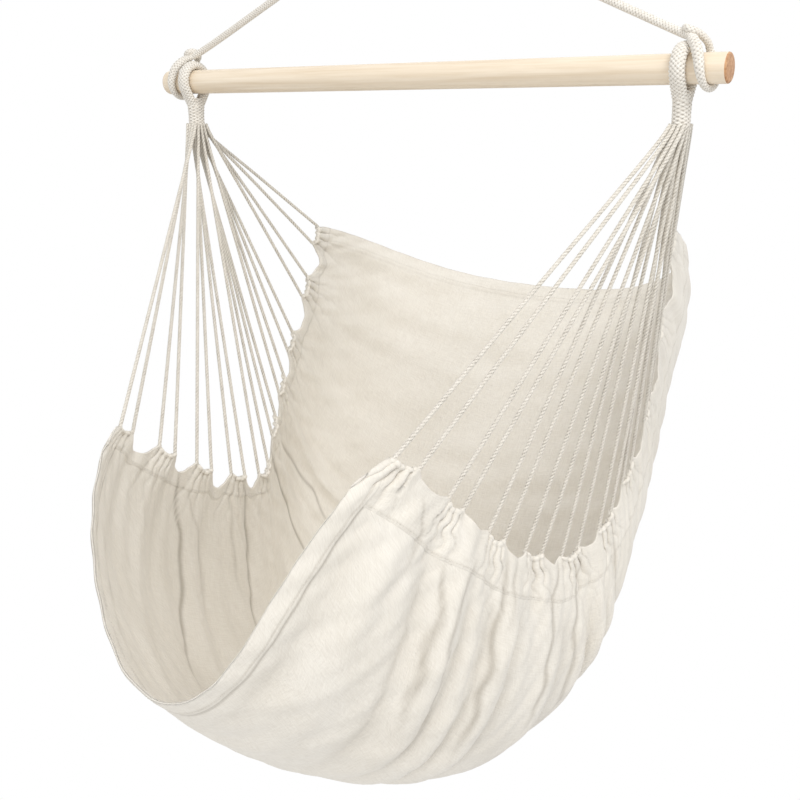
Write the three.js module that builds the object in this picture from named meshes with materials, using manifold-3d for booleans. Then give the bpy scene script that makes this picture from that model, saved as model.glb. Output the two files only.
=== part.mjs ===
// A hammock chair: a cotton seat hung by twenty cords from a wooden bar, and the bar by a rope from a ring.
// Millimetres, +X along the bar to the sitter's left, +Y towards the backrest, +Z up.
// The origin is the top of the ring's hole, where a hook bears.
import * as THREE from "three";
import { mergeVertices } from "three/addons/utils/BufferGeometryUtils.js";
import Module from "manifold-3d";

const wasm = await Module();
wasm.setup();

// Fits
const touchGap = 0.3;
const boreGap = 0.5;
const loopGap = 5.5;
const cutOverrun = 6;

// Hanging ring
const ringWire = 8;
const ringHole = 46;

// Hanger rope, its eye in the ring and the whipping under the eye
const ropeThickness = 9.5;
const eyeLength = 42;
const whippingLength = 36;
const whippingThickness = 22;
const whippingRounding = 3;
const legBend = 16;

// Spreader bar
const barLength = 808;
const barThickness = 32;
const barEndRounding = 2.5;
const bridleHeight = 190;

// Served loop and knot that hold the bar at each end of the rope
const servedThickness = 13;
const servedStartShare = 0.6;
const knotLift = 3;
const knotWidth = 24;
const knotDepth = 32;
const knotHeight = 22;

// Seat loop round the bar, and the plaited neck that gathers its cords
const seatLoopThickness = 12;
const seatLoopWidth = 18;
const seatLoopInset = 49;
const seatLoopWrapShare = 0.2;
const neckTopDrop = 26;
const neckLength = 36;
const neckTopDepth = 34;
const neckDepth = 25;
const neckWidth = 20;

// Cords
const cordThickness = 4.4;
const cordSpacing = 5.1;
const cordLeadIn = 3;
const cordTurnReach = 10;
const cordTurnLength = 10;

// Seat cloth
const clothThickness = 2;
const seatWidth = 608;
const seatDepth = 880;
const seatDrop = 913;
const foldDepth = 9;
const bulgeDepth = 40;

// Tab band along each side of the cloth
const tabBandThickness = 2.6;
const tabBandDepth = 36;
const tabWidth = 34;
const scallopDepth = 24;
const sleeveThickness = 8;
const sleeveBore = cordThickness + 2 * boreGap;
const sleeveOverhang = 1;

// The side edge of the cloth from the front hem to the top hem, through the middle of each tab:
// shares of half the seat's width, of its depth and of its drop below the bar.
const sideEdgeShares = [
  [0.645, -0.361, 0.425],
  [0.673, -0.339, 0.434],
  [0.707, -0.252, 0.495],
  [0.736, -0.169, 0.551],
  [0.766, -0.084, 0.593],
  [0.815, -0.002, 0.615],
  [0.888, 0.054, 0.568],
  [0.93, 0.093, 0.505],
  [0.957, 0.13, 0.433],
  [0.951, 0.172, 0.332],
  [0.947, 0.201, 0.232],
  [0.95, 0.206, 0.218],
];
const tabCount = sideEdgeShares.length - 2;

// The cloth does not drape quite alike on both sides. At the same points the right edge hangs higher than
// the mean by this share of the seat's drop, and the left edge lower.
const rightLiftShares = [
  0.0164, 0.0164, 0.0077, -0.001, -0.0064, -0.0088, -0.0221, -0.0196, -0.0123, -0.001, 0.0123, 0.0142,
];

// The middle of the cloth from the front hem to the top hem: shares of the seat's depth and drop.
const middleShares = [
  [-0.521, 0.698],
  [-0.421, 0.801],
  [-0.3, 0.897],
  [-0.166, 0.97],
  [-0.041, 1],
  [0.056, 0.957],
  [0.14, 0.817],
  [0.275, 0.609],
  [0.491, 0.345],
];

// How a cross row hangs, at five places from front to back. It leaves the tab outwards by a share of the
// bulge, and towards the middle's depth and drop by a share of the way, then runs level into the middle.
const bulgeShares = [-0.92, 0.87, 0.98, 0.23, 0.01];
const wayBackShares = [0.76, 1.32, 1.1, 1.03, 0.62];
const wayDownShares = [0.1, 0.43, 0.49, 1.02, 0.22];
const levelShares = [0.54, 0.92, 1.08, 0.71, 0.86];

// Where the cloth is sampled: across a half row, and over the scallop between two tabs.
const acrossShares = [1, 0.87, 0.7, 0.48, 0.24];
const scallopShares = [
  [0.2, 0.8],
  [0.5, 1],
  [0.8, 0.8],
];

// Colours and surfaces
const steel = { color: 0xb9bcc0, roughness: 0.35, metalness: 1 };
const rope = { color: 0xe9e2d4, roughness: 0.9, metalness: 0 };
const pine = { color: 0xe3cda6, roughness: 0.55, metalness: 0 };
const twine = { color: 0xd9d3c6, roughness: 0.92, metalness: 0 };
const cotton = { color: 0xe4dccd, roughness: 0.95, metalness: 0 };

// Heights below the origin
const wireDrop = ringHole + ringWire / 2;
const whippingTop = -wireDrop - eyeLength;
const whippingBottom = whippingTop - whippingLength;
const barHeight = whippingBottom - bridleHeight;
const neckTop = barHeight - neckTopDrop;
const neckBottom = neckTop - neckLength;

// Places along the bar
const barRadius = barThickness / 2;
const seatLoopPlace = barLength / 2 - seatLoopInset;
const servedLoopPlace = seatLoopPlace + (seatLoopWidth + servedThickness) / 2 + loopGap;
const knotPlace = servedLoopPlace;
const knotRise = barRadius + knotLift + knotHeight / 2;

const chair = new THREE.Group();

function addPiece(name, geometry, finish) {
  const piece = new THREE.Mesh(geometry, new THREE.MeshStandardMaterial(finish));
  piece.name = name;
  chair.add(piece);
  return piece;
}

function point(x, y, z) {
  return new THREE.Vector3(x, y, z);
}

function signedVolume(positions, faces) {
  const corner = (i) => new THREE.Vector3().fromArray(positions, 3 * faces[i]);
  let volume = 0;
  for (let i = 0; i < faces.length; i += 3) {
    volume += corner(i).dot(corner(i + 1).cross(corner(i + 2))) / 6;
  }
  return volume;
}

// One closed body through rings of the same even number of points, with a flat strip of faces at each end.
function lofted(rings) {
  const count = rings[0].length;
  const last = (rings.length - 1) * count;
  const positions = rings.flat().flatMap((p) => p.toArray());
  const faces = [];
  for (let start = 0; start < last; start += count) {
    for (let j = 0; j < count; j += 1) {
      const a = start + j;
      const b = start + ((j + 1) % count);
      faces.push(a, b, a + count, b, b + count, a + count);
    }
  }
  for (let j = 0; j + 1 < count / 2; j += 1) {
    const k = count - 1 - j;
    faces.push(j, k, j + 1, j + 1, k, k - 1);
    faces.push(last + j, last + j + 1, last + k, last + j + 1, last + k - 1, last + k);
  }
  if (signedVolume(positions, faces) < 0) {
    faces.reverse();
  }
  const geometry = new THREE.BufferGeometry();
  geometry.setAttribute("position", new THREE.Float32BufferAttribute(positions, 3));
  geometry.setIndex(faces);
  return geometry;
}

// A round rope through the given points, each ring square to its stretch of the path.
function ropeAlong(path, thickness, sides) {
  const steps = path.slice(1).map((p, i) => p.clone().sub(path[i]).normalize());
  const headings = path.map((_, i) => {
    const before = steps[Math.max(i - 1, 0)];
    const after = steps[Math.min(i, steps.length - 1)];
    return before.clone().add(after).normalize();
  });
  const helper = Math.abs(headings[0].x) < 0.9 ? point(1, 0, 0) : point(0, 1, 0);
  const outward = helper.cross(headings[0]).normalize();
  const rings = path.map((centre, i) => {
    outward.addScaledVector(headings[i], -outward.dot(headings[i])).normalize();
    const sideways = headings[i].clone().cross(outward);
    return Array.from({ length: sides }, (_, j) => {
      const angle = (2 * Math.PI * j) / sides;
      return centre
        .clone()
        .addScaledVector(outward, (thickness / 2) * Math.cos(angle))
        .addScaledVector(sideways, (thickness / 2) * Math.sin(angle));
    });
  });
  return lofted(rings);
}

function solidOf(geometry) {
  const bare = geometry.clone();
  bare.deleteAttribute("normal");
  bare.deleteAttribute("uv");
  const merged = mergeVertices(bare);
  return new wasm.Manifold(
    new wasm.Mesh({
      numProp: 3,
      vertProperties: merged.attributes.position.array,
      triVerts: new Uint32Array(merged.index.array),
    }),
  );
}

function geometryOf(solid) {
  const mesh = solid.getMesh();
  const geometry = new THREE.BufferGeometry();
  geometry.setAttribute("position", new THREE.BufferAttribute(mesh.vertProperties, 3));
  geometry.setIndex(new THREE.BufferAttribute(mesh.triVerts, 1));
  return geometry;
}

// The body that is left when the cutters are taken away, without any crumb that a cut leaves loose.
function cutBy(geometry, ...cutters) {
  const cut = cutters.reduce((solid, cutter) => solid.subtract(solidOf(cutter)), solidOf(geometry));
  const bodies = cut.decompose().sort((a, b) => b.volume() - a.volume());
  return geometryOf(bodies[0]);
}

function joinedWith(geometry, pieces) {
  return geometryOf(pieces.reduce((solid, piece) => solid.add(solidOf(piece)), solidOf(geometry)));
}

function placed(geometry, x, y, z) {
  return geometry.clone().translate(x, y, z);
}

function mirrored(points, side) {
  return points.map((p) => point(side * p.x, p.y, p.z));
}

// Hanging ring: its hole faces front and back, so that the rope's eye rocks on its lowest wire.
function ringGeometry() {
  const ring = new THREE.TorusGeometry((ringHole + ringWire) / 2, ringWire / 2, 10, 32);
  ring.rotateX(Math.PI / 2);
  return placed(ring, 0, 0, -ringHole / 2);
}

// Whipping: tight turns of cord over the two parts of the rope.
function whippingGeometry(growth) {
  const radius = whippingThickness / 2 + growth;
  const half = whippingLength / 2 + growth;
  const profile = [
    new THREE.Vector2(0, -half),
    new THREE.Vector2(radius - whippingRounding, -half),
    new THREE.Vector2(radius, whippingRounding - half),
    new THREE.Vector2(radius, half - whippingRounding),
    new THREE.Vector2(radius - whippingRounding, half),
    new THREE.Vector2(0, half),
  ];
  const body = new THREE.LatheGeometry(profile, 20);
  body.rotateX(Math.PI / 2);
  return placed(body, 0, 0, (whippingTop + whippingBottom) / 2);
}

// Rope eye: up out of the whipping, over the ring's lowest wire and down again.
function eyeGeometry() {
  const bend = ringWire / 2 + touchGap + ropeThickness / 2;
  const narrow = ropeThickness / 2 + touchGap;
  const path = [point(0, -narrow, whippingTop - cutOverrun), point(0, -narrow, whippingTop + touchGap)];
  const turns = 12;
  for (let i = 0; i <= turns; i += 1) {
    const angle = Math.PI - (Math.PI * i) / turns;
    path.push(point(0, bend * Math.cos(angle), -wireDrop + bend * Math.sin(angle)));
  }
  path.push(point(0, narrow, whippingTop + touchGap), point(0, narrow, whippingTop - cutOverrun));
  return cutBy(ropeAlong(path, ropeThickness, 10), whippingGeometry(touchGap));
}

// Knot on top of the bar, where the rope closes its loop.
function knotGeometry(side, growth) {
  const knot = new THREE.SphereGeometry(1, 14, 9);
  knot.rotateX(Math.PI / 2);
  knot.scale(knotWidth / 2 + growth, knotDepth / 2 + growth, knotHeight / 2 + growth);
  return placed(knot, side * knotPlace, 0, barHeight + knotRise);
}

// Leg of the hanger rope, from under the whipping down to the knot.
function legGeometry(side) {
  const top = whippingBottom - touchGap;
  const start = point(ropeThickness / 2 + touchGap, 0, top);
  const end = point(knotPlace, 0, barHeight + knotRise);
  const corner = start.clone().setZ(top - legBend / 2);
  const slope = end.clone().sub(corner).normalize();
  const bend = new THREE.QuadraticBezierCurve3(
    start.clone().setZ(top - touchGap),
    corner,
    corner.clone().addScaledVector(slope, legBend),
  );
  const path = [start, ...bend.getPoints(5), end];
  return cutBy(ropeAlong(mirrored(path, side), ropeThickness, 10), knotGeometry(side, touchGap));
}

// Served loop: the rope's end, wrapped with cord, under the bar from the knot's front to its back.
// It starts at a share of half a turn, measured from the back over the top.
function servedLoopGeometry(side) {
  const bend = barRadius + touchGap + servedThickness / 2;
  const turns = 16;
  const firstAngle = Math.PI * servedStartShare;
  const path = [];
  for (let i = 0; i <= turns; i += 1) {
    const angle = firstAngle + ((3 * Math.PI - 2 * firstAngle) * i) / turns;
    path.push(point(side * servedLoopPlace, bend * Math.cos(angle), barHeight + bend * Math.sin(angle)));
  }
  return cutBy(ropeAlong(path, servedThickness, 10), knotGeometry(side, touchGap));
}

// Spreader bar with rounded ends.
function barGeometry() {
  const half = barLength / 2;
  const profile = [
    new THREE.Vector2(0, -half),
    new THREE.Vector2(barRadius - barEndRounding, -half),
    new THREE.Vector2(barRadius, barEndRounding - half),
    new THREE.Vector2(barRadius, half - barEndRounding),
    new THREE.Vector2(barRadius - barEndRounding, half),
    new THREE.Vector2(0, half),
  ];
  const bar = new THREE.LatheGeometry(profile, 24);
  bar.rotateZ(Math.PI / 2);
  return placed(bar, 0, 0, barHeight);
}

// Plaited neck: an oval that narrows from the two parts of the loop to the bundle of cords.
function neckGeometry(side, growth) {
  const levels = [
    [0, neckTopDepth],
    [neckLength / 3, (neckTopDepth + neckDepth) / 2],
    [(2 * neckLength) / 3, neckDepth],
    [neckLength, neckDepth],
  ];
  const sides = 16;
  const rings = levels.map(([drop, depth]) => {
    const height = drop === 0 ? neckTop + growth : neckTop - drop;
    return Array.from({ length: sides }, (_, j) => {
      const angle = (2 * Math.PI * j) / sides;
      return point(
        side * seatLoopPlace + (neckWidth / 2 + growth) * Math.cos(angle),
        (depth / 2 + growth) * Math.sin(angle),
        height,
      );
    });
  });
  return lofted(rings);
}

// Seat loop: a flat plait over the bar, with both ends drawn together into the neck. On each side it follows
// the bar for a share of half a turn below the bar's middle, and then runs straight.
function seatLoopGeometry(side) {
  const wrap = Math.PI * seatLoopWrapShare;
  const turns = 14;
  const halfStep = (Math.PI + 2 * wrap) / turns / 2;
  const bend = (barRadius + touchGap + seatLoopThickness / 2) / Math.cos(halfStep);
  const arc = [];
  for (let i = 0; i <= turns; i += 1) {
    const angle = Math.PI + wrap - ((Math.PI + 2 * wrap) * i) / turns;
    arc.push(point(0, bend * Math.cos(angle), barHeight + bend * Math.sin(angle)));
  }
  const foot = neckTop - cutOverrun;
  const tail = arc[0].z - foot;
  const lean = tail * Math.tan(wrap);
  const front = point(0, arc[0].y + lean, foot);
  const back = point(0, arc[turns].y - lean, foot);
  const loop = ropeAlong([front, ...arc, back], seatLoopThickness, 12);
  loop.scale(seatLoopWidth / seatLoopThickness, 1, 1);
  return cutBy(placed(loop, side * seatLoopPlace, 0, 0), neckGeometry(side, touchGap));
}

// Seat cloth: each cross row is worked out from its two edges and its middle.
const sideEdge = new THREE.CatmullRomCurve3(
  sideEdgeShares.map(([x, y, z]) =>
    point((x * seatWidth) / 2, y * seatDepth, barHeight - z * seatDrop),
  ),
);
const middleLine = new THREE.CatmullRomCurve3(
  middleShares.map(([y, z]) => point(0, y * seatDepth, barHeight - z * seatDrop)),
);

const edgeSteps = 40;
const normalStepShare = 0.004;
const walkStepShare = 0.01;
const edgeLengths = sideEdge.getLengths(edgeSteps * (tabCount + 1));
const edgeLength = edgeLengths[edgeLengths.length - 1];
const tabRows = Array.from({ length: tabCount }, (_, k) => edgeLengths[(k + 1) * edgeSteps] / edgeLength);
const halfTab = tabWidth / 2 / edgeLength;
const tabPitches = tabRows.slice(1).map((row, k) => (row - tabRows[k]) * edgeLength);
const narrowestGap = Math.min(...tabPitches) - tabWidth;

const knownRows = [0, ...tabRows, 1];

// A value that is known at both hems and at each tab, for any row.
function overTabs(values, row) {
  const next = Math.max(knownRows.findIndex((known) => known >= row), 1);
  const share = (row - knownRows[next - 1]) / (knownRows[next] - knownRows[next - 1]);
  return THREE.MathUtils.lerp(values[next - 1], values[next], THREE.MathUtils.smoothstep(share, 0, 1));
}

function between(values, share) {
  const place = share * (values.length - 1);
  const low = Math.min(Math.floor(place), values.length - 2);
  return values[low] + (values[low + 1] - values[low]) * (place - low);
}

// The smooth surface: row runs from 0 at the front hem to 1 at the top hem, across from -1 to 1.
function smoothCloth(row, across) {
  const edge = sideEdge.getPointAt(row);
  const middle = middleLine.getPointAt(row);
  edge.z += Math.sign(across) * seatDrop * overTabs(rightLiftShares, row);
  const leaving = point(
    edge.x + bulgeDepth * between(bulgeShares, row),
    THREE.MathUtils.lerp(edge.y, middle.y, between(wayBackShares, row)),
    THREE.MathUtils.lerp(edge.z, middle.z, between(wayDownShares, row)),
  );
  const level = middle.clone().setX(edge.x * between(levelShares, row));
  const half = new THREE.CubicBezierCurve3(edge, leaving, level, middle).getPoint(1 - Math.abs(across));
  return half.setX(Math.sign(across) * half.x);
}

// The way out of the hollow, square to the cloth.
function outwardOf(row, across) {
  const step = normalStepShare;
  const before = smoothCloth(Math.max(row - step, 0), across);
  const after = smoothCloth(Math.min(row + step, 1), across);
  const leftward = smoothCloth(row, Math.max(across - step, -1));
  const rightward = smoothCloth(row, Math.min(across + step, 1));
  return after.sub(before).cross(rightward.sub(leftward)).normalize();
}

// Main folds: one for each tab, deepest a little below the tabs and gone at the middle.
function foldAt(row, across) {
  const rows = [2 * tabRows[0] - tabRows[1], ...tabRows, 2 * tabRows[tabCount - 1] - tabRows[tabCount - 2]];
  let k = 0;
  while (k + 2 < rows.length && rows[k + 1] < row) {
    k += 1;
  }
  const phase = (row - rows[k]) / (rows[k + 1] - rows[k]);
  return -foldDepth * Math.cos(2 * Math.PI * phase) * Math.sin(Math.PI * Math.abs(across) ** 3);
}

function clothPoint(row, across, offset) {
  return smoothCloth(row, across).addScaledVector(outwardOf(row, across), foldAt(row, across) + offset);
}

// How far across a row lies at a depth below one side's edge, measured along the cloth.
function acrossAtDepth(row, depth, side) {
  const step = walkStepShare;
  let share = 1;
  let walked = 0;
  let here = smoothCloth(row, side);
  while (share > 0) {
    const next = smoothCloth(row, side * (share - step));
    const length = next.distanceTo(here);
    if (walked + length >= depth) {
      return side * (share - (step * (depth - walked)) / length);
    }
    walked += length;
    share -= step;
    here = next;
  }
  return 0;
}

// Rows of the cloth at the two ends of each tab and over each scallop, and how deep the band's upper edge
// dips there.
const bandRows = [{ row: 0, top: 0 }];
tabRows.forEach((tab, k) => {
  if (k > 0) {
    const start = tabRows[k - 1] + halfTab;
    const width = tab - halfTab - start;
    scallopShares.forEach(([share, depth]) => {
      bandRows.push({ row: start + share * width, top: depth * scallopDepth });
    });
    bandRows.push({ row: tab - halfTab, top: 0 });
  }
  bandRows.push({ row: tab + halfTab, top: 0 });
});
bandRows[bandRows.length - 1].row = 1;

function panelGeometry() {
  const rings = bandRows.map(({ row }) => {
    const [rightmost, leftmost] = [1, -1].map((side) => acrossAtDepth(row, tabBandDepth + touchGap, side));
    const right = acrossShares.map((share) => share * rightmost);
    const left = acrossShares.map((share) => share * leftmost);
    const places = [...right, 0, ...left.reverse()];
    const outside = places.map((across) => clothPoint(row, across, clothThickness / 2));
    const inside = places.map((across) => clothPoint(row, across, -clothThickness / 2));
    return [...outside, ...inside.reverse()];
  });
  return lofted(rings);
}

function tabEnds(k, side) {
  const first = Math.max(tabRows[k] - halfTab, 0);
  const last = Math.min(tabRows[k] + halfTab, 1);
  return [clothPoint(first, side, 0), clothPoint(last, side, 0)];
}

// Sleeve: the turned edge of a tab, which its cord runs through.
function sleeveGeometry([start, end]) {
  const heading = end.clone().sub(start).normalize();
  const from = start.clone().addScaledVector(heading, -sleeveOverhang);
  const to = end.clone().addScaledVector(heading, sleeveOverhang);
  const section = new THREE.Shape().absarc(0, 0, sleeveThickness / 2, 0, 2 * Math.PI);
  section.holes.push(new THREE.Path().absarc(0, 0, sleeveBore / 2, 0, 2 * Math.PI));
  const extrudePath = new THREE.LineCurve3(from, to);
  return new THREE.ExtrudeGeometry(section, { curveSegments: 8, steps: 1, extrudePath });
}

// Band: its upper edge ends inside the sleeves' walls at the tabs and dips in the scallops between them.
function bandGeometry(side) {
  const seat = sleeveBore / 2 + touchGap;
  const rings = bandRows.map(({ row, top }) => {
    const low = acrossAtDepth(row, tabBandDepth, side);
    const high = acrossAtDepth(row, Math.max(top, seat), side);
    const half = tabBandThickness / 2;
    return [
      clothPoint(row, low, half),
      clothPoint(row, high, half),
      clothPoint(row, high, -half),
      clothPoint(row, low, -half),
    ];
  });
  const sleeves = Array.from({ length: tabCount }, (_, k) => sleeveGeometry(tabEnds(k, side)));
  return joinedWith(lofted(rings), sleeves);
}

// Where each leg of the cords starts under the neck: four across the bar, in order from front to back.
const legsAcross = 4;
function neckAnchor(leg, side) {
  const columns = (2 * tabCount) / legsAcross;
  const column = Math.floor(leg / legsAcross);
  const place = leg % legsAcross;
  return point(
    side * (seatLoopPlace + (place - (legsAcross - 1) / 2) * cordSpacing),
    (column - (columns - 1) / 2) * cordSpacing,
    neckBottom - touchGap,
  );
}

// Cord: down from the neck, through one tab and up to the neck again. It turns in the gap beside the tab,
// which it shares with the next cord.
function cordGeometry(k, side) {
  const reach = Math.min(cordTurnReach, narrowestGap / 3);
  const ends = tabEnds(k, side);
  const heading = ends[1].clone().sub(ends[0]).normalize();
  const halves = ends.map((end, i) => {
    const anchor = neckAnchor(2 * k + i, side);
    const outwards = heading.clone().multiplyScalar(i === 0 ? -1 : 1);
    const mouth = end.clone().addScaledVector(outwards, sleeveOverhang + touchGap);
    const corner = mouth.clone().addScaledVector(outwards, reach);
    const below = anchor.clone().setZ(anchor.z - cordLeadIn);
    const rise = below.clone().sub(corner).normalize();
    const bend = new THREE.QuadraticBezierCurve3(
      corner.clone().addScaledVector(rise, cordTurnLength),
      corner,
      mouth,
    );
    return [anchor, below, ...bend.getPoints(3)];
  });
  return ropeAlong([...halves[0], ...halves[1].reverse()], cordThickness, 8);
}

addPiece("hanging_ring", ringGeometry(), steel);
addPiece("rope_eye", eyeGeometry(), rope);
addPiece("eye_whipping", whippingGeometry(0), twine);
addPiece("spreader_bar", barGeometry(), pine);
addPiece("seat_cloth", panelGeometry(), cotton);

// Left and right as seen from the front.
const sides = { left: -1, right: 1 };
Object.entries(sides).forEach(([name, side]) => {
  addPiece("hanger_leg_" + name, legGeometry(side), rope);
  addPiece("bar_knot_" + name, knotGeometry(side, 0), rope);
  addPiece("served_loop_" + name, servedLoopGeometry(side), rope);
  addPiece("seat_loop_" + name, seatLoopGeometry(side), rope);
  addPiece("plaited_neck_" + name, neckGeometry(side, 0), rope);
  addPiece("tab_band_" + name, bandGeometry(side), cotton);
  for (let k = 0; k < tabCount; k += 1) {
    addPiece("cord_" + name + "_" + String(k + 1).padStart(2, "0"), cordGeometry(k, side), twine);
  }
});

export default chair;
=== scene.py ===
# %% [markdown]
# # A cotton hammock chair in Blender
# The chair is a gathered cotton seat. Twenty twisted cords hang it from a round wooden bar, and a braided
# rope carries the bar from a steel ring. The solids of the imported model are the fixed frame: they say where
# every piece goes. This lesson dresses each of them: the cloth with its cords first, then the bar, the rope
# and the ring, and at the end the stitches, the finishes and the light.

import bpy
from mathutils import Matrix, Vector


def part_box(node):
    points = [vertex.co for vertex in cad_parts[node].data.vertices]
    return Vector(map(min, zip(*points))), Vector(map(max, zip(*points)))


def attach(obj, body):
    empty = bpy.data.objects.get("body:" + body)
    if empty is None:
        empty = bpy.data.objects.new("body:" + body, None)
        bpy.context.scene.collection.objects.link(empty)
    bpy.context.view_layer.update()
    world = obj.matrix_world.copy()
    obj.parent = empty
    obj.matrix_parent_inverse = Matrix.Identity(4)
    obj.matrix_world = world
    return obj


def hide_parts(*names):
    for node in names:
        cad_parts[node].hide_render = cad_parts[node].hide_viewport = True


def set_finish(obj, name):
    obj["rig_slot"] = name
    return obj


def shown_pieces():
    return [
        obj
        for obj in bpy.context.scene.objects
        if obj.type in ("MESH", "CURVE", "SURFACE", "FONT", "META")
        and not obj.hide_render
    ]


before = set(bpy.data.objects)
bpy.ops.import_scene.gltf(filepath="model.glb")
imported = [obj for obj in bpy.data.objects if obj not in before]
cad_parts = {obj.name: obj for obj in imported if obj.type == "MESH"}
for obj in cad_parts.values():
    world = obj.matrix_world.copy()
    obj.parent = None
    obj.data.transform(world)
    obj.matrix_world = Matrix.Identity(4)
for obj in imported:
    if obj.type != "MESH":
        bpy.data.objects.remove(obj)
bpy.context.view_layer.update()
print("solids to dress:", len(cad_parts))

# %% [markdown]
# Everything is in metres, in the frame of the solids: X runs along the bar, Y from the open front to the
# backrest and Z up, from the top of the ring's hole. Sizes of a few millimetres are easier to read with a
# unit.

# %% Tools and the unit
import math

import bpy
import numpy as np
from mathutils import Vector

mm = 0.001
sides = {"left": -1, "right": 1}
print("sides along X:", sides)

# %% [markdown]
# ## Camera
# The camera comes first, because everything is judged through it. The photograph was taken from the front
# right, a little above the seat, so the bar runs away to the left. It could be moved by hand until the
# picture fits, but then every shape would lean on a guess. So its place and its turn were worked out from the
# bar's vanishing point and from pairs of points that mirror each other on the seat.

# %% Camera
camera_place = (0.768, -1.150, -0.371)
camera_tilt = math.radians(75.45)
camera_heading = math.radians(33.95)
camera_lens = 48.4

camera_data = bpy.data.cameras.new("camera")
camera_data.lens = camera_lens
camera = bpy.data.objects.new("camera", camera_data)
camera.location = camera_place
camera.rotation_euler = (camera_tilt, 0, camera_heading)
bpy.context.scene.collection.objects.link(camera)
bpy.context.scene.camera = camera
print("camera at", camera_place)

# %% [markdown]
# ## Lines
# Ropes, cords and the edges of the cloth all follow smooth lines through a few points. A centripetal
# Catmull-Rom line passes through every point without overshooting, and a second function finds places at
# given shares of a line's length, which keeps rings and rows evenly spaced.


# %% Smooth lines
def smooth_line(points, per_span=24):
    p = np.asarray(points, float)
    p = np.vstack([2 * p[0] - p[1], p, 2 * p[-1] - p[-2]])
    gap = np.linalg.norm(np.diff(p, axis=0), axis=1) ** 0.5
    g0, g1, g2 = (gap[k : len(gap) - 2 + k, None] for k in range(3))
    a, b, c, d = (p[k : len(p) - 3 + k] for k in range(4))
    leave = g1 * ((b - a) / g0 - (c - a) / (g0 + g1) + (c - b) / g1)
    arrive = g1 * ((c - b) / g1 - (d - b) / (g1 + g2) + (d - c) / g2)
    t = (np.arange(per_span) / per_span)[:, None, None]
    line = b + leave * t + (3 * (c - b) - 2 * leave - arrive) * t**2
    line = line + (2 * (b - c) + leave + arrive) * t**3
    return np.vstack([line.transpose(1, 0, 2).reshape(-1, p.shape[1]), p[-2]])


def walked_along(line):
    return np.r_[0, np.cumsum(np.linalg.norm(np.diff(line, axis=0), axis=1))]


def at_shares(line, shares):
    walked = walked_along(line)
    return np.stack([np.interp(np.asarray(shares) * walked[-1], walked, axis) for axis in line.T], axis=-1)


def evenly(line, step):
    count = max(2, round(walked_along(line)[-1] / step) + 1)
    return at_shares(line, np.linspace(0, 1, count))


# %% [markdown]
# ## Meshes
# Most pieces are grids: rings of points along a rope, or rows of points across the cloth. One function
# turns a grid into faces, and another makes the object and gives it its body, its material slot and the
# solids that it stands for. Each point also carries a value for painted shade: 1 where the surface is open,
# lower where the materials paint the colour darker. On a rope it is how far the point stands out of the
# valleys between two strands, and on the cloth how open its folds are, with shadow lines along the seams.


# %% Grids and pieces
def grid_faces(rows, columns, closed=False, start=0):
    i, j = np.meshgrid(np.arange(rows - 1), np.arange(columns if closed else columns - 1), indexing="ij")
    next_j = (j + 1) % columns
    quads = [i * columns + j, i * columns + next_j, (i + 1) * columns + next_j, (i + 1) * columns + j]
    return np.stack(quads, axis=-1).reshape(-1, 4) + start


def end_faces(rows, columns):
    last = (rows - 1) * columns
    return [list(range(columns))[::-1], list(range(last, last + columns))]


def piece(name, points, faces, body, slot, stands_for=(), uv=None, unshaded_share=None):
    mesh = bpy.data.meshes.new(name)
    mesh.from_pydata(np.asarray(points).reshape(-1, 3).tolist(), [], [list(map(int, f)) for f in faces])
    mesh.polygons.foreach_set("use_smooth", [True] * len(mesh.polygons))
    if uv is not None:
        corners = np.zeros(len(mesh.loops), int)
        mesh.loops.foreach_get("vertex_index", corners)
        layer = mesh.uv_layers.new(name="cloth")
        layer.data.foreach_set("uv", np.asarray(uv).reshape(-1, 2)[corners].ravel())
    # Painted shade: this value tells the material how much darker to paint the colour at each point.
    height = mesh.attributes.new("unshaded_share", "FLOAT", "POINT")
    height.data.foreach_set("value", np.ones(len(mesh.vertices)) if unshaded_share is None else np.ravel(unshaded_share))
    made = bpy.data.objects.new(name, mesh)
    bpy.context.scene.collection.objects.link(made)
    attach(made, body)
    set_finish(made, slot)
    if stands_for:
        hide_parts(*stands_for)
    return made


# %% [markdown]
# A rope's surface is a tube: a round or oval section times a weave, which changes round and along it. The
# rings must not spin as the line bends, so each ring's sideways direction is the last one, made square to
# the line again. A Blender curve with a bevel does that by itself, but its section can't change on the way.


# %% Tubes
def directions(path):
    ahead = np.gradient(path, axis=0)
    ahead /= np.linalg.norm(ahead, axis=1, keepdims=True)
    helper = (1, 0, 0) if abs(ahead[0, 0]) < 0.8 else (0, 1, 0)
    side = np.cross(helper, ahead[0])
    across = np.empty_like(path)
    for i, heading in enumerate(ahead):
        side = side - heading * (side @ heading)
        side /= math.sqrt(side @ side)
        across[i] = side
    return across, np.cross(ahead, across)


def tube(path, section, weave, around):
    across, over = directions(path)
    angle = np.arange(around) * 2 * math.pi / around
    along = walked_along(path)[:, None]
    height = weave(angle[None, :], along)
    radius = section(angle[None, :], along) * height
    out = np.cos(angle)[None, :, None] * across[:, None] + np.sin(angle)[None, :, None] * over[:, None]
    points = (path[:, None] + radius[..., None] * out).reshape(-1, 3)
    faces = [*grid_faces(len(path), around, closed=True), *end_faces(len(path), around)]
    # The last value is the weave's height from 0 to 1, which sets the painted shade between the strands.
    return points, faces, (height - height.min()) / (height.max() - height.min())


def round_section(thickness):
    return lambda angle, along: thickness / 2


def oval_section(deep, wide):
    return lambda angle, along: 0.5 / np.sqrt((np.cos(angle) / deep) ** 2 + (np.sin(angle) / wide) ** 2)


# %% [markdown]
# ## Twisted and braided surfaces
# The seat's cords are three strands twisted together. Their section is three rounded lobes that turn once
# in each lay. The heavier ropes are braided: half of the strands wind to the left and half to the right,
# and each passes over and under the others in turn. The surface is then the higher of two sets of ridges.
# The two whole numbers at the start keep the count of the strands above zero, and change nothing else.

# %% Twist and braid
right_start = 40
left_start = 400
over_share = 0.5


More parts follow.
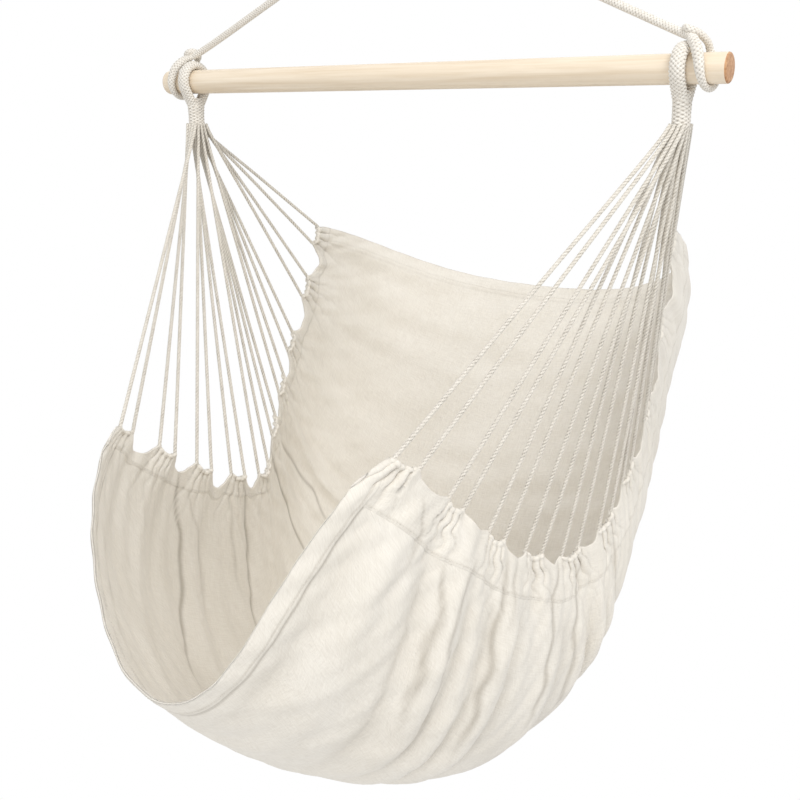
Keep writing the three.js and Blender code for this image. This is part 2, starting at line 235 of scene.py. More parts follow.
def twisted(lay, strands=3, groove=0.3):
    def weave(angle, along):
        lobe = np.abs(np.cos(strands / 2 * (angle - 2 * math.pi * along / lay)))
        return 1 - groove + groove * np.sqrt(lobe)

    return weave


def braided(lay, strands, relief):
    def ridge(own, other, turn):
        over = np.cos(math.pi * (other - 0.5 + np.floor(own) + turn))
        return over_share * over + np.sqrt(np.abs(np.sin(math.pi * own)))

    def weave(angle, along):
        right = strands * (angle / (2 * math.pi) + along / lay) + right_start
        left = strands * (angle / (2 * math.pi) - along / lay) + left_start
        height = np.maximum(ridge(right, left, 0), ridge(left, right, 1))
        return 1 - relief + relief * height / (1 + over_share)

    return weave


# %% [markdown]
# ## Where the pieces are
# The heights come from the solids themselves, so the dressing follows the model if that ever changes.

# %% Places from the frame
touch_gap = 0.3 * mm
bar_low, bar_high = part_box("spreader_bar")
bar_height = (bar_low.z + bar_high.z) / 2
bar_radius = (bar_high.z - bar_low.z) / 2
bar_half = bar_high.x
loop_low, loop_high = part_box("seat_loop_right")
loop_place = (loop_low.x + loop_high.x) / 2
loop_width = loop_high.x - loop_low.x
loop_thickness = loop_high.z - bar_high.z - touch_gap
neck_low, neck_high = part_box("plaited_neck_right")
served_low, served_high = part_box("served_loop_right")
served_thickness = served_high.x - served_low.x
served_place = (served_low.x + served_high.x) / 2
print("bar", round(2 * bar_half, 3), "m long at", round(bar_height, 3))

# %% [markdown]
# ## The shape of the seat
# The cloth hangs in rows. Row 0 is the front hem and row 1 the top hem. Each half row runs from the side
# edge, where the tabs are, down into the middle line. The side edge and the middle line were found from the
# photograph, as shares of the seat's width, depth and drop, and a cubic Bezier curve joins them in each
# row. The hollow could be sculpted instead, but a formula lets every fold and seam find its place on the same
# surface.

# %% Side edge and middle line
seat_width = 608 * mm
seat_depth = 880 * mm
seat_drop = 913 * mm
bulge_depth = 40 * mm

side_edge_shares = [
    (0.645, -0.361, 0.425),
    (0.673, -0.339, 0.434),
    (0.707, -0.252, 0.495),
    (0.736, -0.169, 0.551),
    (0.766, -0.084, 0.593),
    (0.815, -0.002, 0.615),
    (0.888, 0.054, 0.568),
    (0.93, 0.093, 0.505),
    (0.957, 0.13, 0.433),
    (0.951, 0.172, 0.332),
    (0.947, 0.201, 0.232),
    (0.95, 0.206, 0.218),
]
right_lift_shares = [0.0164, 0.0164, 0.0077, -0.001, -0.0064, -0.0088]
right_lift_shares += [-0.0221, -0.0196, -0.0123, -0.001, 0.0123, 0.0142]
middle_shares = [
    (-0.521, 0.698),
    (-0.421, 0.801),
    (-0.3, 0.897),
    (-0.166, 0.97),
    (-0.041, 1),
    (0.056, 0.957),
    (0.14, 0.817),
    (0.275, 0.609),
    (0.491, 0.345),
]
edge_spans = 200


def seat_place(x, y, z):
    return (x * seat_width / 2, y * seat_depth, bar_height - z * seat_drop)


side_edge = smooth_line([seat_place(*shares) for shares in side_edge_shares], edge_spans)
middle_line = smooth_line([seat_place(0, *shares) for shares in middle_shares], edge_spans)
edge_length = walked_along(side_edge)[-1]
tab_rows = walked_along(side_edge)[edge_spans:-edge_spans:edge_spans] / edge_length
tab_count = len(tab_rows)
print(tab_count, "tabs on each side edge of", round(edge_length, 3), "m")

# %% [markdown]
# The rows lie close together on a tab, where the cloth is gathered, and wider over the scallop between two
# tabs. The tab coordinate is a whole number at the middle of each tab.

# %% Rows of the cloth
tab_width = 34 * mm
rows_on_tab = 26
rows_on_scallop = 18
rows_before_first = 6
tiny = 1e-6
half_tab = tab_width / 2 / edge_length


def cloth_rows():
    stops = [0.0]
    for k, tab in enumerate(tab_rows):
        start, end = max(tab - half_tab, 0), min(tab + half_tab, 1)
        stops += [*np.linspace(stops[-1], start, rows_on_scallop if k else rows_before_first)[1:]]
        stops += [*np.linspace(start, end, rows_on_tab)[1:]]
    return np.array(stops + [1.0] if stops[-1] < 1 - tiny else stops)


rows = cloth_rows()
pitch = np.gradient(tab_rows)
tab_place = np.interp(rows, tab_rows, np.arange(tab_count))
tab_place += np.minimum(rows - tab_rows[0], 0) / pitch[0] + np.maximum(rows - tab_rows[-1], 0) / pitch[-1]
nearest_tab = np.clip(np.round(tab_place), 0, tab_count - 1).astype(int)
off_tab = tab_place - nearest_tab
corner = half_tab / pitch[nearest_tab]
print(len(rows), "rows")

# %% [markdown]
# Two small functions shape almost everything on the cloth: a soft step from 0 to 1, and a rounded hump.


# %% Soft step and hump
def ease(value, start, end):
    t = np.clip((value - start) / (end - start), 0, 1)
    return t * t * (3 - 2 * t)


def hump(distance, width):
    return np.exp(-((distance / width) ** 2))


# %% [markdown]
# The smooth half of the cloth is worked out once on a fine grid, with the direction out of the hollow at
# each point. Any other place is then found by its row and its depth below the side edge, along the cloth.

# %% Smooth half of the cloth
bulge_shares = [-0.92, 0.87, 0.98, 0.23, 0.01]
way_back_shares = [0.76, 1.32, 1.1, 1.03, 0.62]
way_down_shares = [0.1, 0.43, 0.49, 1.02, 0.22]
level_shares = [0.54, 0.92, 1.08, 0.71, 0.86]
half_steps = 220


def by_row(shares):
    return np.interp(rows, np.linspace(0, 1, len(shares)), shares)


def right_lift():
    known = np.r_[0, tab_rows, 1]
    following = np.clip(np.searchsorted(known, rows), 1, len(known) - 1)
    share = ease(rows, known[following - 1], known[following])
    lift = np.array(right_lift_shares)
    return seat_drop * (lift[following - 1] * (1 - share) + lift[following] * share)


def smooth_half(side):
    edge = at_shares(side_edge, rows)
    edge[:, 2] += side * right_lift()
    middle = at_shares(middle_line, rows)
    way = np.stack([0 * rows, by_row(way_back_shares), by_row(way_down_shares)], 1)
    leaving = edge + (middle - edge) * way
    leaving[:, 0] += bulge_depth * by_row(bulge_shares)
    level = middle.copy()
    level[:, 0] = edge[:, 0] * by_row(level_shares)
    t = np.linspace(0, 1, half_steps)[None, :, None]
    half = edge[:, None] * (1 - t) ** 3 + 3 * leaving[:, None] * t * (1 - t) ** 2
    half = half + 3 * level[:, None] * t**2 * (1 - t) + middle[:, None] * t**3
    out = np.cross(np.gradient(half, axis=1), np.gradient(half, rows, axis=0))
    out[:, -1, 0] = 0
    out /= np.linalg.norm(out, axis=2, keepdims=True)
    walked = np.array([walked_along(row) for row in half])
    return {"points": half, "out": out, "walked": walked, "length": walked[:, -1]}


halves = {side: smooth_half(side) for side in sides.values()}
full_length = halves[1]["length"] + halves[-1]["length"]
print("rows from", round(full_length.min(), 3), "to", round(full_length.max(), 3), "m long")

# %% [markdown]
# ## Scalloped edge
# A cord passes through each tab and pulls its two corners up, so the crest between them dips a little. The
# cloth between two tabs is cut away in a U or a V. No two scallops are quite alike. Cutting them out of a
# finished mesh would leave ragged faces, so the upper edge of the rows goes up and down instead.

# %% Depth of the upper edge
crest_dip = 6.5 * mm
crest_roundness = 2.2
scallop_depth = 24 * mm
scallop_depth_shares = {
    -1: [0.12, 1.0, 0.92, 1.12, 1.05, 0.95, 0.9, 1.08, 1.0, 1.1, 0.12],
    1: [0.12, 0.42, 0.38, 0.62, 0.55, 0.4, 0.5, 0.75, 0.8, 0.9, 0.12],
}
scallop_round_shares = [1.0, 2.4, 1.5, 1.9, 1.35, 2.2, 1.8, 2.6, 2.3, 2.0, 1.0]


def edge_depth(side):
    scallop = np.clip(np.floor(tab_place).astype(int) + 1, 0, tab_count)
    depth = np.take(scallop_depth_shares[side], scallop) * scallop_depth
    across = np.clip((np.abs(off_tab) - corner) / np.maximum(0.5 - corner, tiny), 0, 1)
    cut = depth * (1 - (1 - across) ** np.take(scallop_round_shares, scallop))
    crest = crest_dip * (1 - np.minimum(np.abs(off_tab) / corner, 1) ** crest_roundness)
    return np.where(np.abs(off_tab) < corner, crest, cut)


top_depth = {side: edge_depth(side) for side in sides.values()}
print("deepest scallops:", {name: round(top_depth[side].max(), 3) for name, side in sides.items()})

# %% [markdown]
# ## Folds
# The cloth is much longer than the row of tabs that gathers it. A cloth simulation could gather it, but it
# would not put the main folds where the photograph has them. So the folds are drawn, as a height out of the
# hollow. Each kind has its strength for every tab, because the two sides hang differently and the backrest
# is pulled tight. Just under a cord the cloth is pinched into short pleats, which zigzag and fan out.

# %% Pleats under the tabs
pleat_depth = {-1: -1.3 * mm, 1: 2.1 * mm}
pleat_shares = {-1: [1] * 10, 1: [1, 1, 1, 1, 1, 0.9, 0.6, 0.35, 0.2, 0.15]}
pleat_count = 4
pleat_run = 34 * mm
pleat_turn = 0.13
pleat_sharpness = 2.6
pleat_end_shares = (0.8, 1.15)
fan_run = 90 * mm
fan_share = 1.4
long_pleat_share = 0.4
last_long_pleats = (4.5, 6.5)
zigzag_length = 27 * mm
zigzag_start = (4 * mm, 20 * mm)
zigzag_turn = 1.7
zigzag_shares = {
    1: [0.04, 0.13, 0.1, 0.12, 0.06, 0.09, 0.05, 0.1, 0.06, 0.04],
    -1: [0.03, 0.05, 0.03, 0.04, 0.06, 0.08, 0.06, 0.05, 0.04, 0.03],
}


def by_tab(values):
    return np.interp(tab_place, np.arange(tab_count), values)[:, None]


def pleated(side, below, depth):
    fan = corner[:, None] * (1 + fan_share * ease(depth, 0, fan_run))
    sway = np.sin(2 * math.pi * below / zigzag_length + zigzag_turn * nearest_tab[:, None])
    sway = sway * ease(below, *zigzag_start)
    near = off_tab[:, None] / fan + sway * np.take(zigzag_shares[side], nearest_tab)[:, None]
    ridge = 0.5 + 0.5 * np.cos(2 * math.pi * (pleat_count * near / 2 + pleat_turn * nearest_tab[:, None]))
    pleats = (1 - 2 * (1 - ridge) ** pleat_sharpness) * (1 - ease(np.abs(near), *pleat_end_shares))
    tight = ease(tab_place, *last_long_pleats)[:, None] if side > 0 else 0
    return pleats * (hump(below, pleat_run) + long_pleat_share * (1 - tight) * hump(below, fan_run))


# %% [markdown]
# Further down a valley is left under each tab, and narrower furrows run between the valleys and die away
# towards the bottom of the seat. Both drift sideways on their way down.

# %% Valleys and furrows
drift_run = 300 * mm
valley_drift = {
    1: [0.1, -0.22, 0.12, 0.3, -0.1, 0.2, 0.1, 0, -0.1, 0],
    -1: [0.2, 0.25, -0.12, 0.1, 0.3, -0.15, 0, 0.1, 0, 0],
}
furrow_depth = 9.5 * mm
furrow_strength_shares = {
    1: [0.85, 1.2, 1.25, 1.15, 0.75, 0.25, 0.08, 0.03, 0.0, 0.0],
    -1: [0.2, 0.25, 0.3, 0.35, 0.4, 0.4, 0.35, 0.3, 0.25, 0.2],
}
furrows_per_tab = 1.6
furrow_wander = 0.22
furrow_wander_rate = 0.43
furrow_turn = {1: 0.8, -1: 2.3}
furrow_sharpness = 0.6
furrow_level = 0.6
furrow_start = (40 * mm, 120 * mm)
furrow_end = (250 * mm, 470 * mm)


def shifted(side, depth):
    return tab_place[:, None] + by_tab(valley_drift[side]) * ease(depth, 0, drift_run)


def furrows(side, place, depth):
    wander = furrow_wander * np.sin(2 * math.pi * furrow_wander_rate * place + furrow_turn[side])
    wave = (0.5 + 0.5 * np.cos(2 * math.pi * (furrows_per_tab * place + wander))) ** furrow_sharpness
    fading = ease(depth, *furrow_start) * (1 - ease(depth, *furrow_end))
    return by_tab(furrow_strength_shares[side]) * (wave - furrow_level) * fading


# %% [markdown]
# The far side hangs flatter, in panels with a few sharp creases between them, and the near side has some
# too. Each crease is a thin groove in the face that the photograph shows. It follows a few stops, each with
# a place among the tabs and a depth below the edge in millimetres, which were measured in the photograph.

# %% Sharp creases
crease_width = 0.04
crease_waver = 0.015
crease_waver_length = 11 * mm
crease_waver_turn = 3
crease_start = np.array([-15, 25])
crease_end = np.array([-80, 20])
sharp_creases = {
    -1: [
        (1.5, [(1.5, 22), (1.7, 60), (1.86, 96), (1.95, 144), (1.93, 192), (1.86, 234), (1.55, 330)]),
        (0.7, [(1.8, 38), (2.2, 90), (2.38, 138), (2.38, 186), (2.34, 240)]),
        (1.6, [(3.2, 15), (3.29, 42), (3.38, 96), (3.35, 150), (3.22, 204), (3.11, 280)]),
        (0.6, [(2.85, 36), (2.9, 90), (2.93, 144), (2.99, 210)]),
        (1.7, [(4.6, 20), (4.84, 96), (4.91, 144), (4.85, 192), (4.76, 260)]),
        (1.5, [(5.4, 60), (5.63, 130), (5.77, 186), (5.66, 210), (5.5, 260)]),
        (0.6, [(0.16, 140), (0.25, 180), (0.25, 210), (0.18, 252), (0.41, 310)]),
    ],
    1: [
        (1.2, [(0.48, 22), (0.67, 48), (0.71, 110)]),
        (1.2, [(1.19, 66), (1.26, 90), (1.3, 120), (1.3, 174), (1.37, 270)]),
        (1.1, [(1.59, 42), (1.52, 66), (1.45, 102), (1.45, 132), (1.59, 192), (1.66, 300)]),
        (1.3, [(2.31, 20), (2.24, 66), (2.18, 96), (2.17, 126), (2.14, 180), (2.14, 290)]),
        (1.0, [(2.52, 18), (2.38, 48), (2.31, 110)]),
        (1.2, [(3.65, 12), (3.32, 54), (3.25, 102), (3.17, 156), (3.1, 260)]),
        (1.2, [(4.16, 18), (3.89, 54), (3.75, 108), (3.75, 162), (3.7, 280)]),
        (0.9, [(5.1, 20), (5.0, 100), (4.95, 250)]),
    ],
}


def creased(side, depth, width=crease_width):
    height = np.zeros_like(depth)
    for size, stops in sharp_creases[side]:
        places, depths = np.array(stops).T
        waver = crease_waver * np.sin(depth / crease_waver_length + crease_waver_turn * places[0])
        place = np.interp(depth / mm, depths, places) + waver
        fading = ease(depth / mm, *(depths[0] + crease_start))
        fading = fading * (1 - ease(depth / mm, *(depths[-1] + crease_end)))
        height += size * mm * hump(tab_place[:, None] - place, width) * fading
    return height


print("sharp creases:", {name: len(sharp_creases[side]) for name, side in sides.items()})

# %% [markdown]
# At the top right of the backrest the cloth swells out a little below the corner, and the corner itself is
# tucked in. A broad hump with a soft start and end is enough for it.

# %% Shoulder of the backrest
corner_swell = 8.5 * mm
corner_tuck = 16 * mm
swell_tab = 8.45
swell_reach = 0.6
tuck_tabs = (8.6, 9.5)
shoulder_start = (5 * mm, 50 * mm)
shoulder_end = (140 * mm, 300 * mm)


def shoulder(depth):
    along = corner_swell * hump(tab_place - swell_tab, swell_reach)
    along = along - corner_tuck * ease(tab_place, *tuck_tabs)
    return along[:, None] * ease(depth, *shoulder_start) * (1 - ease(depth, *shoulder_end))


# %% [markdown]
# The height adds all of them up. Each wide valley is a rounded V under its tab with a second, weaker wave
# in it, so that no two are alike. Near the hems the folds fade out, because the hem holds the cloth
# straight.

# %% Fold height
fold_depth = 8 * mm
fold_strength_shares = {
    1: [0.7, 0.95, 1.0, 0.85, 0.55, 0.25, 0.1, 0.05, 0.02, 0.0],
    -1: [0.45, 0.5, 0.55, 0.55, 0.5, 0.6, 0.5, 0.4, 0.3, 0.25],
}
fold_start = 55 * mm
fold_full = 130 * mm
fold_end = 400 * mm
fold_start_share = 0.45
valley_rounding = 0.03
valley_level = 0.62
second_share = 0.22
second_start = (60 * mm, 160 * mm)
second_turn = {
    1: [0.2, 1.4, 2.6, 0.9, 1.9, 3.2, 0.4, 1.1, 2.2, 0.7],
    -1: [1.7, 0.3, 2.9, 1.2, 0.6, 2.1, 1.5, 0.2, 2.7, 1.9],
}
front_fade = (-0.45, 0.4)
top_fade = (tab_count - 1.2, tab_count - 0.6)


def fold_height(side, depth):
    below = np.maximum(depth - top_depth[side][:, None], 0)
    place = shifted(side, depth)
    valley = np.sqrt(np.sin(math.pi * place) ** 2 + valley_rounding) - valley_level
    second = second_share * np.cos(4 * math.pi * place + by_tab(second_turn[side]))
    second = second * ease(depth, *second_start)
    swell = fold_start_share + (1 - fold_start_share) * ease(below, 0, fold_start)
    swell = swell * (1 - ease(depth, fold_full, fold_end))
    height = 2 * fold_depth * by_tab(fold_strength_shares[side]) * swell * (valley + second)
    height = height + furrow_depth * furrows(side, place, depth)
    height = height * (ease(tab_place, *front_fade) * (1 - ease(tab_place, *top_fade)))[:, None]
    height = height + pleat_depth[side] * by_tab(pleat_shares[side]) * pleated(side, below, depth)
    height = height - side * creased(side, depth)
    return height + shoulder(depth) if side > 0 else height


# %% [markdown]
# Little light reaches the bottom of a narrow fold. The mesh alone can't show all of that, so shade is
# painted into the folds: the same shapes also say how open the cloth is, 1 where it is smooth, down to 0.2
# in the deepest creases, and the canvas material paints its colour darker with it.

# %% Painted shade in the folds
crease_shade = 0.42
crease_shade_width = crease_width * 0.75
pleat_shade = 0.28
furrow_shade = 0.32
furrow_shade_start = 0.1
deepest_shade = 0.8


def unshaded_by_folds(side, depth):
    below = np.maximum(depth - top_depth[side][:, None], 0)
    valleys = -furrows(side, shifted(side, depth), depth) - furrow_shade_start
    shade = crease_shade * creased(side, depth, crease_shade_width) / mm
    shade += pleat_shade * np.clip(-pleated(side, below, depth), 0, 1)
    shade += furrow_shade * np.clip(valleys, 0, 1)
    return 1 - np.clip(shade, 0, deepest_shade)


# %% [markdown]
# Real cotton also has small random creases. A sum of a few long waves with seeded random directions gives
# the same creases on every run, and they run on across the middle of the seat.

# %% Small creases
crease_depth = 0.65 * mm
crease_waves = 14
shortest_wave = 28 * mm
longest_wave = 95 * mm
lean_spread = 0.35
swell_length = 0.11
chance = np.random.default_rng(7)
wave_length = chance.uniform(shortest_wave, longest_wave, crease_waves)
crease_lean = chance.normal(0, lean_spread, crease_waves)
crease_turn = chance.uniform(0, 2 * math.pi, (crease_waves, 2))


def creases(distance, across):
    height = np.zeros_like(across)
    for width, lean, (turn, swell_turn) in zip(wave_length, crease_lean, crease_turn):
        phase = 2 * math.pi * (distance + lean * across) / width + turn
        height += np.sin(phase) * (0.5 + 0.5 * np.sin(across / (swell_length + width) + swell_turn))
    return crease_depth * height


print("waves from", round(wave_length.min(), 3), "to", round(wave_length.max(), 3), "m long")

# %% [markdown]
# One function now gives the cloth's points for any depths in every row. The folds and the creases move them
# along the direction out of the hollow.


# %% Points of the cloth
def lookup(side, name, depth):
    table, walked = halves[side][name], halves[side]["walked"]
    found = np.empty(depth.shape + (3,))
    for i, row in enumerate(depth):
        for axis in range(3):
            found[i, :, axis] = np.interp(row, walked[i], table[i, :, axis])
    return found


row_distance = np.interp(rows, [0, 1], [0, walked_along(middle_line)[-1]])


def cloth_points(side, depth):
    across = side * (halves[side]["length"][:, None] - depth)
    height = fold_height(side, depth) + creases(row_distance[:, None] + 0 * depth, across)
    out = lookup(side, "out", depth)
    out /= np.linalg.norm(out, axis=2, keepdims=True)
    points = lookup(side, "points", depth) + out * height[..., None]
    points[..., 0] *= side
    return points


# %% [markdown]
# ## Cords
# Each cord leaves the plaited neck, runs to one corner of a tab, turns through the tab's crest and runs
# back up. It is one taut hairpin of cotton cord, 4.8 mm thick over its strands. A curve with a bevel would
# be quicker, but it has no strands. Here a real twisted tube follows the path, and the path follows the
# crest, so the cord lies inside the gathered cloth.

# %% Cord routes
cord_thickness = 4.8 * mm
cord_spacing = 5.1 * mm
cord_lay = 14 * mm
cord_lead = 3 * mm
cord_tuck = 5 * mm
cord_corner = 9 * mm
cord_step = 1.9 * mm
cord_sides = 15
crest_radius = 3.3 * mm
crest_points = 6
crest_reach = 1.02
straight_shares = (0.1, 0.5, 0.97)
legs_across = 4


def neck_anchor(leg):
    columns = 2 * tab_count // legs_across
    x = loop_place + (leg % legs_across - (legs_across - 1) / 2) * cord_spacing
    y = (leg // legs_across - (columns - 1) / 2) * cord_spacing
    return np.array([x, y, neck_low.z + cord_tuck])


def cord_route(side, k):
    on_tab = np.flatnonzero((nearest_tab == k) & (np.abs(off_tab) <= corner * crest_reach))
    crest = cloth_points(side, (top_depth[side] + crest_radius)[:, None])[on_tab, 0]
    crest = at_shares(crest, np.linspace(0, 1, crest_points))
    ends = []
    for i, corner_point in enumerate((crest[0], crest[-1])):
        anchor = neck_anchor(2 * k + i) * (side, 1, 1)
        straight = anchor - (0, 0, cord_lead) - corner_point
        lift = straight / np.linalg.norm(straight)
        stops = [corner_point + straight * share for share in straight_shares]
        ends.append([corner_point + lift * cord_corner, *stops, anchor])
    return smooth_line([*ends[0][::-1], *crest, *ends[1]])


def rounded(line, passes=4):
    for _ in range(passes):
        line = np.vstack([line[:1], (line[:-2] + 2 * line[1:-1] + line[2:]) / 4, line[-1:]])
    return line


cord_keys = [(side, k) for side in sides.values() for k in range(tab_count)]
cord_routes = {key: rounded(evenly(cord_route(*key), cord_step)) for key in cord_keys}


# %% Cord pieces
def cord_piece(name, side, k):
    path = cord_routes[side, k]
    points, faces, unshaded_share = tube(path, round_section(cord_thickness), twisted(cord_lay), cord_sides)
    number = f"{name}_{k + 1:02d}"
    made = piece("twisted_cord_" + number, points, faces, "seat", "twine", ["cord_" + number], unshaded_share=unshaded_share)
    return made


cords = [cord_piece(name, side, k) for name, side in sides.items() for k in range(tab_count)]
print(len(cords), "cords")

# %% [markdown]
# ## Canvas
# The canvas is one sheet from tab to tab. A surface without thickness would show no edge at the hems, so it
# is drawn as a thin shell, with its columns close together at the side edges and wider in the middle. Both
# hems are turned over twice and stitched, so they are thicker. Shade is painted in a dark line just beyond
# the inner edge of each hem and a fainter one along its seam, strong at the front hem and faint at the top.

# %% Canvas columns
canvas_thickness = 1.2 * mm
canvas_start = 1.5 * mm
half_columns = 84
column_growth = 2.2

spread = (np.exp(column_growth * np.linspace(0, 1, half_columns)) - 1) / (math.exp(column_growth) - 1)


def canvas_depth(side):
    start = top_depth[side] + canvas_start
    return start[:, None] + (halves[side]["length"] - start)[:, None] * spread[None, :]


def join_sides(right, left):
    return np.concatenate([right, left[:, -2::-1]], axis=1)


canvas_middle = join_sides(cloth_points(1, canvas_depth(1)), cloth_points(-1, canvas_depth(-1)))
print("canvas", canvas_middle.shape[0], "rows by", canvas_middle.shape[1], "columns")

# %% Hems
hem_width = 25 * mm
hem_seam = 20 * mm
hem_thickness = {"front": 4.2 * mm, "top": 2.4 * mm}
# How dark the painted shadow lines are at the front hem and at the top hem.
hem_shade_depth = {"front": 0.55, "top": 0.12}
hem_step = 1 * mm
hem_rounding = 2 * mm
hem_edge_share = 0.15
# Painted shadow lines: one just beyond the hem's inner edge, where it steps down to the canvas, and a fainter
# one along its seam.
hem_fold_shadow_place = 1.5 * mm
hem_fold_shadow_width = 2 * mm
hem_seam_shadow_width = 1.4 * mm
hem_seam_shadow_share = 0.6


def walked_over(points, axis):
    steps = np.linalg.norm(np.diff(points, axis=axis), axis=2)
    start = np.zeros_like(np.take(steps, [0], axis))
    return np.concatenate([start, np.cumsum(steps, axis=axis)], axis=axis)


def hem_shape(points):
    from_front = walked_over(points, 0)
    from_hem = np.minimum(from_front, from_front[-1] - from_front)
    in_front = from_front < from_front[-1] / 2
    full = np.where(in_front, hem_thickness["front"], hem_thickness["top"])
    inside = 1 - ease(from_hem, hem_width - hem_step, hem_width + hem_step)
    thick = canvas_thickness + (full - canvas_thickness) * inside
    rounding = np.sqrt(np.clip(1 - (1 - from_hem / hem_rounding) ** 2, hem_edge_share, 1))
    # Painted shadow: the colour darkens in these two lines.
    line = hump(from_hem - hem_width - hem_fold_shadow_place, hem_fold_shadow_width)
    line = line + hem_seam_shadow_share * hump(from_hem - hem_seam, hem_seam_shadow_width)
    shade = 1 - np.where(in_front, hem_shade_depth["front"], hem_shade_depth["top"]) * np.minimum(line, 1)
    return from_front, thick * np.where(from_hem < hem_rounding, rounding, 1), shade


front_distance, canvas_thick, hem_shade = hem_shape(canvas_middle)
print("from hem to hem", round(front_distance[-1].mean(), 3), "m")

# %% [markdown]
# A shell has two faces and a rim. Along the side edges the outside of the near side and the inside of the
# far side are the faces with the painted shade of the folds, since a groove in one face is a ridge in the
# other.


# %% Shells
def out_of(points):
    out = np.cross(np.gradient(points, axis=1), np.gradient(points, axis=0))
    return out / np.linalg.norm(out, axis=2, keepdims=True)


def shell(outer, inner):
    rows_in, columns_in = outer.shape[:2]
    count = rows_in * columns_in
    faces = [*grid_faces(rows_in, columns_in)[:, ::-1], *grid_faces(rows_in, columns_in, start=count)]
    rim = [i * columns_in for i in range(rows_in)]
    rim += [(rows_in - 1) * columns_in + j for j in range(1, columns_in)]
    rim += [i * columns_in + columns_in - 1 for i in range(rows_in - 2, -1, -1)]
    rim += list(range(columns_in - 2, 0, -1))
    faces += [[a, b, b + count, a + count] for a, b in zip(rim, rim[1:] + rim[:1])]
    return np.concatenate([outer.reshape(-1, 3), inner.reshape(-1, 3)]), faces


# %% Canvas piece
def from_middle(side):
    return side * (halves[side]["length"][:, None] - canvas_depth(side))


canvas_out = out_of(canvas_middle)
canvas_outer = canvas_middle + canvas_out * canvas_thick[..., None] / 2
canvas_inner = canvas_middle - canvas_out * canvas_thick[..., None] / 2
canvas_points, canvas_faces = shell(canvas_outer, canvas_inner)
canvas_across = join_sides(from_middle(1), from_middle(-1))
canvas_uv = np.stack([front_distance - front_distance[len(rows) // 2], canvas_across], axis=-1)
# Painted shade of the folds and of the hem lines, for the canvas's two faces.
unshaded_right, unshaded_left = [unshaded_by_folds(side, canvas_depth(side)) for side in (1, -1)]
unshaded_outside = join_sides(unshaded_right, np.ones_like(unshaded_left)) * hem_shade
unshaded_inside = join_sides(np.ones_like(unshaded_right), unshaded_left) * hem_shade
canvas = piece(
    "seat_canvas",
    canvas_points,
    canvas_faces,
    "seat",
    "cotton_cloth",
    ["seat_cloth"],
    np.stack([canvas_uv, canvas_uv]),
    np.stack([unshaded_outside, unshaded_inside]),
)
print("canvas faces:", len(canvas_faces))

# %% [markdown]
# ## Tab bindings
# A strip of the same cotton is folded over each side edge and stitched down. It doubles the cloth where the
# cords pull, makes the sleeves that they run through and rolls over the scallops. Its section is a round
# bead at the edge, larger round a cord, and a flat double layer below. It is a piece of its own, because it
# is a strip of its own, and so the canvas ends under it.

# %% Binding section
binding_depth = {-1: 40 * mm, 1: 62 * mm}
binding_thickness = 3.0 * mm
binding_least = 20 * mm
binding_thin_share = 0.7
binding_edge = 2.5 * mm
scallop_bead = 1.6 * mm
bead_change = (0.8, 1.25)
bead_steps = np.array([0, 0.15, 0.5, 1.1, 1.9, 2.9, 4.0, 5.2, 6.4, 8]) * mm
flat_steps = 22
flat_start = 1.2 * mm
seam_wander = 3 * mm
seam_waves = [(1.0, 2.1, 1), (0.6, 5.3, 2)]
seam_from_edge = 4 * mm
binding_seam_shadow_width = 1.5 * mm
seam_shade_depth = 0.18


def seam_depth(side):
    wander = sum(size * np.sin(rate * tab_place + turn * side) for size, rate, turn in seam_waves)
    return binding_depth[side] + seam_wander * wander


def binding_steps(side):
    run = np.maximum(seam_depth(side) - top_depth[side], binding_least)[:, None]
    share = np.linspace(0, 1, flat_steps)[1:]
    flat = bead_steps[-1] + (run - bead_steps[-1]) * share[None, :]
    return np.concatenate([np.tile(bead_steps, (len(rows), 1)), flat], axis=1), run


def binding_points(side):
    steps, run = binding_steps(side)
    bead = scallop_bead + (crest_radius - scallop_bead) * (1 - ease(np.abs(off_tab) / corner, *bead_change))
    round_part = np.sqrt(np.clip(bead[:, None] ** 2 - (steps - bead[:, None]) ** 2, 0, None))
    thinner = 1 - binding_thin_share * ease(steps, run - binding_edge, run)
    flat_part = binding_thickness / 2 * ease(steps, 0, flat_start) * thinner
    half = np.where(steps < bead[:, None], round_part, np.maximum(round_part, flat_part))
    depth = top_depth[side][:, None] + steps
    middle = cloth_points(side, depth)
    out = out_of(middle) * side
    # Painted shadow: the colour darkens along the seam and along the strip's lower edge, and on one face also
    # in the folds.
    seam = hump(steps - run + seam_from_edge, binding_seam_shadow_width) + hump(steps - run, binding_seam_shadow_width)
    seam_shade = 1 - seam_shade_depth * np.minimum(seam, 1)
    unshaded_share = [unshaded_by_folds(side, depth) * seam_shade, seam_shade][::side]
    return middle + out * half[..., None], middle - out * half[..., None], middle, unshaded_share


# %% Binding pieces
def binding_piece(name, side):
    outer, inner, middle, unshaded_share = binding_points(side)
    points, faces = shell(outer[:, ::side], inner[:, ::side])
    uv = np.stack([walked_over(middle[:, ::side], 0), walked_over(middle[:, ::side], 1)], axis=-1)
    return piece(
        "tab_binding_" + name,
        points,
        faces,
        "seat",
        "cotton_cloth",
        ["tab_band_" + name],
        np.stack([uv, uv]),
        np.stack(unshaded_share)[..., ::side],
    )


bindings = {name: binding_piece(name, side) for name, side in sides.items()}
print("bindings:", len(bindings))

# %% [markdown]
# ## Bar
# The bar is turned from pale pine, 32 mm thick, with its ends just eased. A cylinder with a bevel would do
# too. A profile turned about the bar's own axis, as on a lathe, says the same in a few lines.

# %% Bar
bar_end_rounding = 2.5 * mm
bar_end_steps = 6
bar_stations = 9
bar_sides = 96


